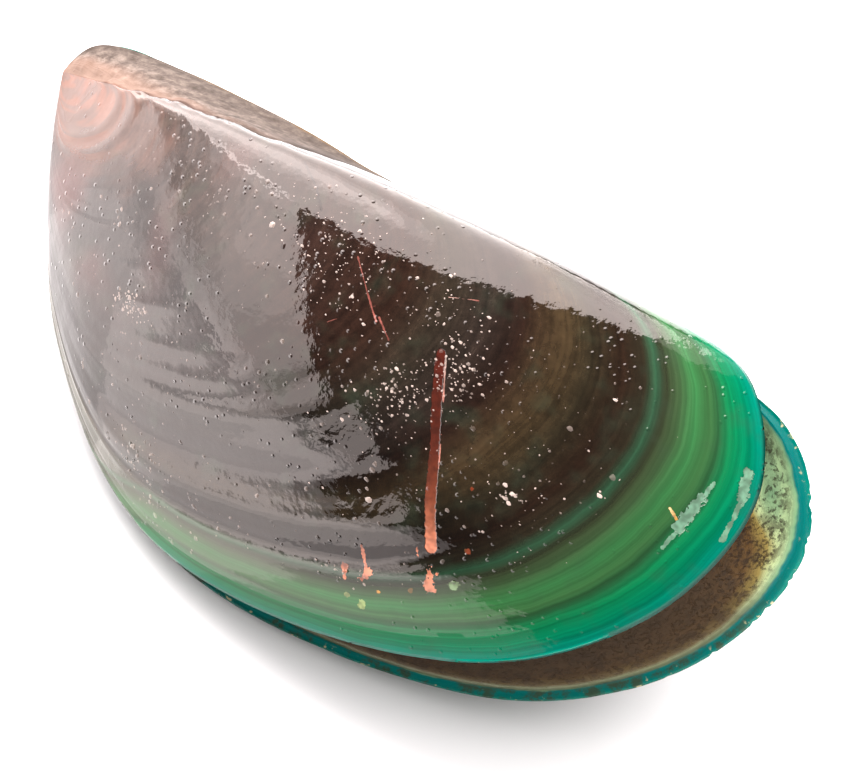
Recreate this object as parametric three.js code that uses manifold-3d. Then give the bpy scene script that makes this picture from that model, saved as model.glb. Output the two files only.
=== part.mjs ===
// A whole green mussel shell: two hollow valves held together along the hinge by a ligament,
// a little open, lying on its left valve as an empty shell comes to rest.
// Millimetres. In the shell's own frame the beak is at the origin, +X runs to the posterior end,
// +Y is the ventral side, -Y the hinge side, and z = 0 is the left valve's margin plane.
import * as THREE from 'three';
import { mergeVertices } from 'three/addons/utils/BufferGeometryUtils.js';
import Module from 'manifold-3d';

// Size and the margin's outline, as shares of the length, from the beak along the ventral side,
// round the posterior end and back up the hinge side.
const SHELL_LENGTH = 90;
const MARGIN_OUTLINE = [
  [0, 0], [0.017, 0.044], [0.15, 0.06], [0.4, 0.04], [0.65, 0.033], [0.919, 0.004], [1, -0.11],
  [0.965, -0.266], [0.83, -0.399], [0.6, -0.465], [0.35, -0.445], [0.14, -0.283], [0.039, -0.108],
];

// How a valve grows: each older margin is a smaller copy, turned up about an axis through the beak.
const GROWTH_AXIS_DEG = -82.4;
const GROWTH_TURN_DEG = 36.6;
const GROWTH_TURN_POWER = 1.4;
const YOUNGEST_MARGIN = 0.05;

// The hollow is a smaller copy of the outside about a point in the margin plane.
const HOLLOW_CENTRE = [0.645, -0.19];
const HOLLOW_SCALE = 0.96;
const HOLLOW_DEPTH_SCALE = 0.92;

// The right valve is a trace smaller and stands open about the hinge.
const RIGHT_VALVE_SCALE = 0.974;
const HINGE_DIRECTION_DEG = -55.6;
const GAPE_DEG = 16.2;
const RIGHT_VALVE_SHIFT = [-0.3, -1, 0.4];

// The tilt at which the shell balances on its left valve, and the worn spot it rests on.
const REST_ROLL_DEG = 25.5;
const REST_PITCH_DEG = -8.5;
const WORN_SPOT_DEPTH = 0.3;

// The ligament: a spindle along the inside of the hinge margin, between two shares of the way round it.
const LIGAMENT_FROM = 0.93;
const LIGAMENT_TO = 0.8;
const LIGAMENT_SETBACK = 1.3;
const LIGAMENT_HALF_WIDTH = 0.8;
const LIGAMENT_HALF_HEIGHT = 1.1;
const LIGAMENT_LIFT = 0.4;
const LIGAMENT_TIP_SHARE = 0.3;

// Facet counts
const POINTS_PER_MARGIN_SPAN = 4;
const OUTSIDE_RINGS = 24;
const HOLLOW_RINGS = 18;
const LIGAMENT_STATIONS = 5;
const LIGAMENT_STEPS = 14;
const LIGAMENT_SIDES = 10;
const MERGE_DISTANCE = 1e-4;

const SHELL_COLOR = 0x2f6b4a;
const LIGAMENT_COLOR = 0x4a2c17;

const wasm = await Module();
wasm.setup();

const growthAngle = THREE.MathUtils.degToRad(GROWTH_AXIS_DEG);
const growthAxis = new THREE.Vector2(Math.cos(growthAngle), Math.sin(growthAngle));
const growthReach = new THREE.Vector2(-Math.sin(growthAngle), Math.cos(growthAngle));

// The margin as a closed smooth curve in the margin plane.
function marginCurve(length) {
  const corners = MARGIN_OUTLINE.map(([x, y]) => new THREE.Vector3(x * length, y * length, 0));
  return new THREE.CatmullRomCurve3(corners, true, 'centripetal');
}

// Points along the margin; the last one doesn't repeat the first.
function marginPoints(length) {
  const count = MARGIN_OUTLINE.length * POINTS_PER_MARGIN_SPAN;
  const points = marginCurve(length).getPoints(count).slice(0, count);
  return points.map((p) => new THREE.Vector2(p.x, p.y));
}

// One growth ring of the outside, at a share of the full-grown size.
function growthRing(margin, share, side) {
  const turn = THREE.MathUtils.degToRad(GROWTH_TURN_DEG) * (1 - share ** GROWTH_TURN_POWER);
  return margin.map((point) => {
    const along = share * point.dot(growthAxis);
    const reach = share * point.dot(growthReach);
    const flat = reach * Math.cos(turn);
    const height = Math.max(reach, 0) * Math.sin(turn);
    return new THREE.Vector3(
      along * growthAxis.x + flat * growthReach.x,
      along * growthAxis.y + flat * growthReach.y,
      side * height,
    );
  });
}

function outsideRings(margin, side, count) {
  return Array.from({ length: count }, (_, i) => {
    const share = YOUNGEST_MARGIN + (1 - YOUNGEST_MARGIN) * (i / (count - 1));
    return growthRing(margin, share, side);
  });
}

// Shrinks an outside point into the hollow.
function hollowPoint(point, length) {
  const [cx, cy] = HOLLOW_CENTRE.map((share) => share * length);
  return new THREE.Vector3(
    cx + (point.x - cx) * HOLLOW_SCALE,
    cy + (point.y - cy) * HOLLOW_SCALE,
    point.z * HOLLOW_DEPTH_SCALE,
  );
}

// Leaves out the triangles that merging has closed to a line.
function dropEmptyFaces(geometry) {
  const index = Array.from(geometry.getIndex().array);
  const faces = [];
  for (let i = 0; i < index.length; i += 3) {
    const [a, b, c] = index.slice(i, i + 3);
    if (a !== b && b !== c && c !== a) faces.push(a, b, c);
  }
  geometry.setIndex(faces);
  return geometry;
}

// A list of rings of equal count, skinned in order, with a fan over each end.
function skinRings(rings) {
  const count = rings[0].length;
  const middle = (ring) => ring.reduce((sum, p) => sum.add(p), new THREE.Vector3()).divideScalar(count);
  const points = [...rings.flat(), middle(rings[0]), middle(rings[rings.length - 1])];
  const lastRow = (rings.length - 1) * count;
  const firstTip = rings.length * count;
  const faces = [];
  for (let j = 0; j < count; j++) {
    const k = (j + 1) % count;
    faces.push(firstTip, k, j);
    for (let row = 0; row < lastRow; row += count) {
      faces.push(row + j, row + k, row + count + k);
      faces.push(row + j, row + count + k, row + count + j);
    }
    faces.push(firstTip + 1, lastRow + j, lastRow + k);
  }
  const geometry = new THREE.BufferGeometry().setFromPoints(points);
  geometry.setIndex(faces);
  return dropEmptyFaces(mergeVertices(geometry, MERGE_DISTANCE));
}

function flipFaces(geometry) {
  const index = geometry.getIndex();
  for (let i = 0; i < index.count; i += 3) {
    const second = index.getX(i + 1);
    index.setX(i + 1, index.getX(i + 2));
    index.setX(i + 2, second);
  }
  return geometry;
}

// A hollow valve: up the outside to the margin, across the margin and down the inside.
// side is +1 for the right valve and -1 for the left.
function valveGeometry(length, side) {
  const margin = marginPoints(length);
  const outside = outsideRings(margin, side, OUTSIDE_RINGS);
  const inside = outsideRings(margin, side, HOLLOW_RINGS)
    .map((ring) => ring.map((point) => hollowPoint(point, length)))
    .reverse();
  const geometry = skinRings([...outside, ...inside]);
  return side < 0 ? flipFaces(geometry) : geometry;
}

function toSolid(geometry) {
  return new wasm.Manifold(new wasm.Mesh({
    numProp: 3,
    vertProperties: new Float32Array(geometry.getAttribute('position').array),
    triVerts: new Uint32Array(geometry.getIndex().array),
  }));
}

function toGeometry(solid) {
  const mesh = solid.getMesh();
  const geometry = new THREE.BufferGeometry();
  geometry.setAttribute('position', new THREE.Float32BufferAttribute(mesh.vertProperties, 3));
  geometry.setIndex(Array.from(mesh.triVerts));
  return geometry;
}

function restRotation() {
  const roll = THREE.MathUtils.degToRad(REST_ROLL_DEG);
  const pitch = THREE.MathUtils.degToRad(REST_PITCH_DEG);
  return new THREE.Quaternion().setFromEuler(new THREE.Euler(roll, pitch, 0, 'YXZ'));
}

// Takes a thin slice off the lowest part of the left valve, level when the shell lies at rest.
function wearFlat(geometry) {
  const rest = restRotation();
  const lowest = new THREE.Box3().setFromBufferAttribute(
    geometry.clone().applyQuaternion(rest).getAttribute('position'),
  ).min.z;
  const slab = new THREE.BoxGeometry(4 * SHELL_LENGTH, 4 * SHELL_LENGTH, SHELL_LENGTH);
  slab.translate(0, 0, lowest + WORN_SPOT_DEPTH - SHELL_LENGTH / 2);
  slab.applyQuaternion(rest.clone().invert());
  slab.deleteAttribute('normal');
  slab.deleteAttribute('uv');
  return toGeometry(toSolid(geometry).subtract(toSolid(mergeVertices(slab))));
}

// The ligament's middle line: the hollow's margin at the hinge, set back into the hollow.
function ligamentPath() {
  const margin = marginCurve(SHELL_LENGTH);
  const up = new THREE.Vector3(0, 0, 1);
  const stations = Array.from({ length: LIGAMENT_STATIONS }, (_, i) => {
    const share = i / (LIGAMENT_STATIONS - 1);
    const place = THREE.MathUtils.lerp(LIGAMENT_FROM, LIGAMENT_TO, share);
    const inward = new THREE.Vector3().crossVectors(margin.getTangent(place), up).normalize();
    const start = hollowPoint(margin.getPoint(place), SHELL_LENGTH);
    return start.addScaledVector(inward, LIGAMENT_SETBACK).addScaledVector(up, LIGAMENT_LIFT);
  });
  return new THREE.CatmullRomCurve3(stations);
}

function ligamentGeometry() {
  const path = ligamentPath();
  const up = new THREE.Vector3(0, 0, 1);
  const rings = [];
  for (let i = 0; i <= LIGAMENT_STEPS; i++) {
    const share = i / LIGAMENT_STEPS;
    const swell = LIGAMENT_TIP_SHARE + (1 - LIGAMENT_TIP_SHARE) * Math.sin(Math.PI * share);
    const middle = path.getPointAt(share);
    const across = new THREE.Vector3().crossVectors(up, path.getTangentAt(share)).normalize();
    rings.push(Array.from({ length: LIGAMENT_SIDES }, (_, j) => {
      const angle = (2 * Math.PI * j) / LIGAMENT_SIDES;
      return middle.clone()
        .addScaledVector(across, LIGAMENT_HALF_WIDTH * swell * Math.cos(angle))
        .addScaledVector(up, LIGAMENT_HALF_HEIGHT * swell * Math.sin(angle));
    }));
  }
  return skinRings(rings);
}

// The group that turns the right valve open: its origin is on the line that the hinge margin touches.
function hingePivot() {
  const angle = THREE.MathUtils.degToRad(HINGE_DIRECTION_DEG);
  const axis = new THREE.Vector3(Math.cos(angle), Math.sin(angle), 0);
  const inward = new THREE.Vector2(-Math.sin(angle), Math.cos(angle));
  const nearest = Math.min(...marginPoints(SHELL_LENGTH).map((point) => point.dot(inward)));
  const pivot = new THREE.Group();
  pivot.quaternion.setFromAxisAngle(axis, THREE.MathUtils.degToRad(GAPE_DEG));
  pivot.position.set(inward.x * nearest, inward.y * nearest, 0);
  return pivot;
}

function namedMesh(name, geometry, material) {
  geometry.computeVertexNormals();
  const mesh = new THREE.Mesh(geometry, material);
  mesh.name = name;
  return mesh;
}

const shellMaterial = new THREE.MeshStandardMaterial({ color: SHELL_COLOR, roughness: 0.3, metalness: 0 });
const bandMaterial = new THREE.MeshStandardMaterial({ color: LIGAMENT_COLOR, roughness: 0.6, metalness: 0 });

const leftValve = namedMesh('left_valve', wearFlat(valveGeometry(SHELL_LENGTH, -1)), shellMaterial);
const rightGeometry = valveGeometry(SHELL_LENGTH * RIGHT_VALVE_SCALE, 1);
const rightValve = namedMesh('right_valve', rightGeometry, shellMaterial.clone());
const ligament = namedMesh('ligament', ligamentGeometry(), bandMaterial);

const pivot = hingePivot();
rightValve.position.copy(pivot.position).negate();
pivot.position.add(new THREE.Vector3(...RIGHT_VALVE_SHIFT));
pivot.add(rightValve);

// The shell at rest, then moved so that the origin is under the middle of its box.
const resting = new THREE.Group();
resting.quaternion.copy(restRotation());
resting.add(leftValve, pivot, ligament);

const mussel = new THREE.Group();
mussel.add(resting);
mussel.updateMatrixWorld(true);
const box = new THREE.Box3().setFromObject(mussel, true);
resting.position.set(-(box.min.x + box.max.x) / 2, -(box.min.y + box.max.y) / 2, -box.min.z);

export default mussel;
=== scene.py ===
"""A wet green mussel shell, a little open, dressed over its CAD frame.

Both valves are grown in code from one margin: every older margin is a smaller copy of it, turned up
about an axis through the beak. A vertex therefore knows its growth share (0 at the beak, 1 at the margin)
and its place round the margin (0 to 1), and both the relief and the colour bands are laid out by them.
Lengths inside the shell's own frame are millimetres; what goes to Blender is in metres.
"""
import logging
import math
from dataclasses import dataclass, field, replace
from enum import Enum, IntEnum

import bpy
import numpy as np
from mathutils import Matrix, Vector

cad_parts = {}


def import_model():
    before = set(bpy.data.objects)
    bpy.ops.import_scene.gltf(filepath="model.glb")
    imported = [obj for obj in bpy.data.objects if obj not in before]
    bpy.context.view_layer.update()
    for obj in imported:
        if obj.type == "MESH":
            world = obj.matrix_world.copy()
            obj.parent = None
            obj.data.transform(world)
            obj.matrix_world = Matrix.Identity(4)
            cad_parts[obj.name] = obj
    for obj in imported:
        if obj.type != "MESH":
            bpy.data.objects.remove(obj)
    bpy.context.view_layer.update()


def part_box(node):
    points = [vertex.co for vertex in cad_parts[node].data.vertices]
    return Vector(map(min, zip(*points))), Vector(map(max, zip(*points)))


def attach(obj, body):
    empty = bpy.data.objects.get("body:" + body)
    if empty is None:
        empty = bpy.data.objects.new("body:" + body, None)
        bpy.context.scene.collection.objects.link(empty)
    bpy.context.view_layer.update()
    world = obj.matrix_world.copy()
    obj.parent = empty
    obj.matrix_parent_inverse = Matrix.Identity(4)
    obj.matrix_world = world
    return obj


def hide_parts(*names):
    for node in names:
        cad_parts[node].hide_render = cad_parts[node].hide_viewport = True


LOG = logging.getLogger("mussel")
MM = 0.001
STEP = 1e-4
MARGIN_SAMPLES = 520
IMAGE_WIDTH = 860
FLANK_EDGE = 0.338
FLANK_DRAWN_IN = 0.045
FLANK_TURN = (0.52, 0.72)
MARGIN_FROM = 0.962

Array = np.ndarray
Colour = tuple[float, float, float, float]
Stop = tuple[float, Colour]


def srgb(red: int, green: int, blue: int) -> Colour:
    """Turns an 8-bit screen colour into a linear shader colour.

    Args:
        red: Red, 0 to 255.
        green: Green, 0 to 255.
        blue: Blue, 0 to 255.

    Returns:
        Linear red, green, blue and alpha.
    """
    def linear(byte: int) -> float:
        """Linear value of one channel."""
        share = byte / 255
        return share / 12.92 if share <= 0.04045 else ((share + 0.055) / 1.055) ** 2.4

    return (linear(red), linear(green), linear(blue), 1.0)


def smooth(value: Array, start: float, end: float) -> Array:
    """Eases from 0 at start to 1 at end.

    Args:
        value: Values to ease.
        start: Where the result is 0.
        end: Where the result is 1.

    Returns:
        The eased values.
    """
    share = np.clip((value - start) / (end - start), 0, 1)
    return share * share * (3 - 2 * share)


def hill(value: Array, centre: float, width: float) -> Array:
    """A rounded rise of height 1.

    Args:
        value: Where to measure it.
        centre: Its middle.
        width: Half its width at about a third of its height.

    Returns:
        The height at each value.
    """
    return np.exp(-(((value - centre) / width) ** 2))


class Grain:
    """Smooth seeded noise on a lattice, from -1 to 1."""

    def __init__(self, seed: int) -> None:
        """Fills the lattice.

        Args:
            seed: Seed of the random values.
        """
        rng = np.random.default_rng(seed)
        self.order = rng.permutation(256)
        self.values = rng.uniform(-1, 1, 256)

    def _corner(self, cell: Array) -> Array:
        """Random value of a lattice corner."""
        index = self.order[cell[..., 0] & 255]
        index = self.order[(index + cell[..., 1]) & 255]
        return self.values[self.order[(index + cell[..., 2]) & 255]]

    def field(self, point: Array) -> Array:
        """Noise in space.

        Args:
            point: Points, one row of three numbers each.

        Returns:
            One value for each point.
        """
        low = np.floor(point).astype(int)
        share = point - low
        share = share * share * (3 - 2 * share)
        total = np.zeros(point.shape[:-1])
        for corner in np.ndindex(2, 2, 2):
            weight = np.ones(point.shape[:-1])
            for axis in range(3):
                part = share[..., axis]
                weight = weight * (part if corner[axis] else 1 - part)
            total += weight * self._corner(low + np.array(corner))
        return total

    def rough(self, point: Array, octaves: int) -> Array:
        """Noise in space with finer noise laid over it.

        Args:
            point: Points, one row of three numbers each.
            octaves: How many layers, each half as large as the one before.

        Returns:
            One value for each point.
        """
        return sum(self.field(point * 2 ** k + 17.3 * k) / 2 ** k for k in range(octaves))

    def line(self, value: Array) -> Array:
        """Noise along a line."""
        zero = np.zeros_like(value)
        return self.field(np.stack([value, zero, zero], axis=-1))


class Slot(IntEnum):
    """Material slots of a valve."""

    WET = 0
    INSIDE = 1
    FLANK = 2
    MARGIN = 3


class Side(Enum):
    """Which valve: the sign that its bulge has on the z axis of the shell's own frame."""

    RIGHT = 1
    LEFT = -1


@dataclass(frozen=True)
class Growth:
    """The margin and how a valve grows from it; sizes are shares of the shell's length."""

    outline: tuple[tuple[float, float], ...] = (
        (0, 0), (0.017, 0.044), (0.15, 0.06), (0.4, 0.04), (0.65, 0.033), (0.919, 0.004), (1, -0.11),
        (0.965, -0.266), (0.83, -0.399), (0.6, -0.465), (0.35, -0.445), (0.14, -0.283), (0.039, -0.108),
    )
    axis_deg: float = -82.4
    turn_deg: float = 36.6
    turn_power: float = 1.4
    hollow_centre: tuple[float, float] = (0.645, -0.19)
    hollow_scale: float = 0.96
    hollow_depth: float = 0.92
    crease_mm: float = 2.2

    def margin(self, place: Array) -> Array:
        """Points on the margin, a closed centripetal Catmull-Rom curve.

        Args:
            place: Share of the way round, any shape.

        Returns:
            Points in the margin plane, in shares of the length.
        """
        knots = np.array(self.outline, dtype=float)
        count = len(knots)
        along = np.asarray(place) % 1.0 * count
        span = np.floor(along).astype(int)
        share = (along - span)[..., None]
        before, start, end, after = (knots[(span + step) % count] for step in (-1, 0, 1, 2))

        def gap(first: Array, second: Array) -> Array:
            """Square root of the distance between two knots."""
            return np.sqrt(np.linalg.norm(second - first, axis=-1))[..., None]

        gap_in, gap_mid, gap_out = gap(before, start), gap(start, end), gap(end, after)
        leave = ((start - before) / gap_in - (end - before) / (gap_in + gap_mid) + (end - start) / gap_mid)
        reach = ((end - start) / gap_mid - (after - start) / (gap_mid + gap_out) + (after - end) / gap_out)
        leave, reach = leave * gap_mid, reach * gap_mid
        bend = -3 * start + 3 * end - 2 * leave - reach
        twist = 2 * start - 2 * end + leave + reach
        return start + leave * share + bend * share ** 2 + twist * share ** 3

    def inward(self, place: Array) -> Array:
        """Directions into the shell, square to the margin and in its plane.

        Args:
            place: Places round the margin.

        Returns:
            One unit vector for each place.
        """
        ahead = self.margin(place + STEP) - self.margin(place - STEP)
        ahead /= np.linalg.norm(ahead, axis=-1, keepdims=True)
        return np.column_stack([ahead[:, 1], -ahead[:, 0], np.zeros(len(place))])

    def outside(self, share: Array, place: Array, length: float, side: Side) -> Array:
        """Points on the outside.

        Args:
            share: Growth share.
            place: Share of the way round the margin.
            length: Length of the valve in millimetres.
            side: Which valve.

        Returns:
            Points in the shell's own frame, in millimetres.
        """
        margin = self.margin(place) * length
        angle = math.radians(self.axis_deg)
        axis = np.array([math.cos(angle), math.sin(angle)])
        across = np.array([-math.sin(angle), math.cos(angle)])
        turn = math.radians(self.turn_deg) * (1 - share ** self.turn_power)
        along = share * (margin @ axis)
        reach = share * (margin @ across)
        flat = along[..., None] * axis + (reach * np.cos(turn))[..., None] * across
        lift = (reach + np.sqrt(reach ** 2 + self.crease_mm ** 2)) / 2
        height = side.value * lift * np.sin(turn)
        return np.concatenate([flat, height[..., None]], axis=-1)

    def hollow(self, point: Array, length: float) -> Array:
        """Shrinks outside points into the hollow.

        Args:
            point: Points on the outside, in millimetres.
            length: Length of the valve in millimetres.

        Returns:
            The points of the hollow.
        """
        centre = np.array([self.hollow_centre[0], self.hollow_centre[1], 0]) * length
        scale = np.array([self.hollow_scale, self.hollow_scale, self.hollow_depth])
        return centre + (point - centre) * scale


@dataclass(frozen=True)
class RestPose:
    """How the two valves stand to each other and how the shell lies on the floor."""

    length: float = 90.0
    right_scale: float = 0.974
    hinge_deg: float = -55.6
    gape_deg: float = 16.2
    right_shift: tuple[float, float, float] = (-0.3, -1.0, 0.4)
    roll_deg: float = 25.5
    pitch_deg: float = -8.5

    def opened(self, growth: Growth) -> Matrix:
        """Turns the right valve open.

        Args:
            growth: The valve's growth, for the margin that the hinge line touches.

        Returns:
            The move from the closed to the open right valve, in millimetres.
        """
        angle = math.radians(self.hinge_deg)
        inward = np.array([-math.sin(angle), math.cos(angle)])
        nearest = (growth.margin(np.arange(MARGIN_SAMPLES) / MARGIN_SAMPLES) * self.length @ inward).min()
        pivot = Vector((*(inward * nearest), 0))
        turn = Matrix.Rotation(math.radians(self.gape_deg), 4, Vector((math.cos(angle), math.sin(angle), 0)))
        return Matrix.Translation(pivot + Vector(self.right_shift)) @ turn @ Matrix.Translation(-pivot)

    def laid(self) -> Matrix:
        """The tilt of the resting shell."""
        roll = Matrix.Rotation(math.radians(self.roll_deg), 4, "X")
        return Matrix.Rotation(math.radians(self.pitch_deg), 4, "Y") @ roll


def move(point: Array, matrix: Matrix) -> Array:
    """Moves points by a matrix.

    Args:
        point: Points, one row of three numbers each.
        matrix: The move.

    Returns:
        The moved points.
    """
    table = np.array(matrix)
    return point @ table[:3, :3].T + table[:3, 3]


@dataclass(frozen=True)
class Fold:
    """A growth check: a rounded ridge or groove that follows one growth line."""

    share: float
    width: float
    height: float
    start: float = 0.40
    end: float = 0.95


@dataclass(frozen=True)
class Spot:
    """A pimple or water dab: where it is, its radius, how pale it is painted (lime grit with a painted
    glint) and how drawn out along the growth.
    """

    share: float
    place: float
    size: float
    pale: float = 0.12
    stretch: float = 1.0


@dataclass(frozen=True)
class Cluster:
    """A patch of pimples round one spot."""

    share: float
    place: float
    spread_share: float
    spread_place: float
    count: int
    size: float = 0.12
    # How pale the pimples are painted: lime grit with a painted glint on top.
    pale: float = 0.2


@dataclass(frozen=True)
class Notch:
    """A worn place in the rim: where, how wide in places round the margin, and how deep."""

    place: float
    width: float
    depth: float


@dataclass(frozen=True)
class Swell:
    """A broad rounded rise on the outside."""

    share: float
    place: float
    spread_share: float
    spread_place: float
    height: float


@dataclass(frozen=True)
class Relief:
    """Everything raised or sunk on the outside of a valve, in millimetres."""

    seed: int
    folds: tuple[Fold, ...]
    swells: tuple[Swell, ...] = ()
    fine_lines: float = 0.006
    fine_count: float = 210.0
    fine_patch: float = 8.0
    broad_lines: float = 0.016
    broad_count: float = 62.0
    waves: float = 0.10
    wave_length: float = 10.0
    sway_length: float = 11.0
    tremble_length: float = 3.5
    fold_rise: float = 0.10
    fold_fall: float = 0.14
    flank_wrinkles: float = 0.34
    wrinkle_scale: tuple[float, float, float] = (0.5, 0.3, 0.6)

    def height(self, share: Array, place: Array, point: Array) -> Array:
        """How far each outside point stands above the plain growth surface.

        Args:
            share: Growth share of the points.
            place: Share of the way round the margin.
            point: The points themselves, in millimetres.

        Returns:
            The height of each point.
        """
        grain = Grain(self.seed)
        drifted = share + 0.005 * grain.field(point / self.sway_length)
        drifted = drifted + 0.002 * grain.field(point / self.tremble_length)
        fade = smooth(share, 0.05, 0.2)
        total = self.fine_lines * grain.line(drifted * self.fine_count)
        total = total * (0.6 + 0.4 * grain.field(point / self.fine_patch))
        total = total + self.broad_lines * grain.line(drifted * self.broad_count + 40)
        calm = 1 - 0.75 * smooth(place, 0.70, 0.80)
        total = (total * calm + self.waves * grain.field(point / self.wave_length)) * fade
        for fold in self.folds:
            rise = smooth(place, fold.start, fold.start + self.fold_rise)
            reach = rise * (1 - smooth(place, fold.end - self.fold_fall, fold.end))
            total = total + fold.height * reach * hill(drifted, fold.share, fold.width)
        for swell in self.swells:
            spread = hill(share, swell.share, swell.spread_share)
            total = total + swell.height * (spread * hill(place, swell.place, swell.spread_place))
        flank = smooth(place, 0.03, 0.08) * (1 - smooth(place, 0.325, 0.375))
        flank = flank * (1 - smooth(share, 0.45, 0.68))
        wrinkle = grain.rough(point * np.array(self.wrinkle_scale), 3)
        return total + self.flank_wrinkles * flank * fade * wrinkle


@dataclass(frozen=True)
class GridPlan:
    """How finely a valve is meshed."""

    outside_rows: int
    lip_rows: int
    hollow_rows: int
    columns: int
    youngest: float = 0.012
    hollow_youngest: float = 0.048
    dense_from: float = 0.36
    dense_to: float = 0.80
    dense_factor: float = 1.7
    dense_ease: float = 0.04

    def places(self) -> Array:
        """Places round the margin, closer together on the broad face.

        Returns:
            The places, one for each column.
        """
        fine = np.linspace(0, 1, 4001)
        rise = smooth(fine, self.dense_from - self.dense_ease, self.dense_from + self.dense_ease)
        fall = smooth(fine, self.dense_to - self.dense_ease, self.dense_to + self.dense_ease)
        weight = 1 + (self.dense_factor - 1) * rise * (1 - fall)
        run = np.concatenate([[0], np.cumsum((weight[1:] + weight[:-1]) / 2)])
        steps = (np.arange(self.columns) + 0.5) / self.columns
        return np.interp(steps, run / run[-1], fine)


@dataclass
class MeshStore:
    """Vertices, faces and vertex values collected for one piece."""

    points: list[Array] = field(default_factory=list)
    faces: list[list[int]] = field(default_factory=list)
    slots: list[int] = field(default_factory=list)
    values: dict[str, list[Array]] = field(default_factory=dict)
    count: int = 0

    def add(self, points: Array, **values: Array) -> int:
        """Adds vertices.

        Args:
            points: The vertices, one row each, in millimetres.
            **values: One array of vertex values for each named attribute.

        Returns:
            The index of the first vertex added.
        """
        first = self.count
        self.points.append(points.reshape(-1, 3))
        for name, value in values.items():
            self.values.setdefault(name, []).append(np.asarray(value, dtype=float).ravel())
        self.count += len(self.points[-1])
        return first

    def face(self, corners: list[int], slot: int) -> None:
        """Adds one face in a material slot."""
        self.faces.append(corners)
        self.slots.append(int(slot))

    def skin(self, first: int, rows: int, columns: int, slots: Array) -> None:
        """Joins rows of a closed grid with faces.

        Args:
            first: Index of the grid's first vertex.
            rows: Number of rows.
            columns: Number of vertices in each row.
            slots: Material slot of each face, one row for each band between two rows of vertices.
        """
        for row in range(rows - 1):
            low = first + row * columns
            high = low + columns
            for col in range(columns):
                after = (col + 1) % columns
                self.face([low + col, low + after, high + after, high + col], slots[row, col])

    def to_object(self, name: str, flip: bool) -> bpy.types.Object:
        """Makes the object.

        Args:
            name: Name of the piece.
            flip: Turns the faces over.

        Returns:
            The new object, in metres.
        """
        points = np.concatenate(self.points) * MM
        faces = [corners[::-1] for corners in self.faces] if flip else self.faces
        mesh = bpy.data.meshes.new(name)
        mesh.from_pydata(points.tolist(), [], faces)
        mesh.polygons.foreach_set("material_index", self.slots)
        mesh.polygons.foreach_set("use_smooth", [True] * len(faces))
        for label, parts in self.values.items():
            layer = mesh.attributes.new(label, "FLOAT", "POINT")
            layer.data.foreach_set("value", np.concatenate(parts).astype(np.float32))
        mesh.update()
        obj = bpy.data.objects.new(name, mesh)
        bpy.context.scene.collection.objects.link(obj)
        return obj


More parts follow.
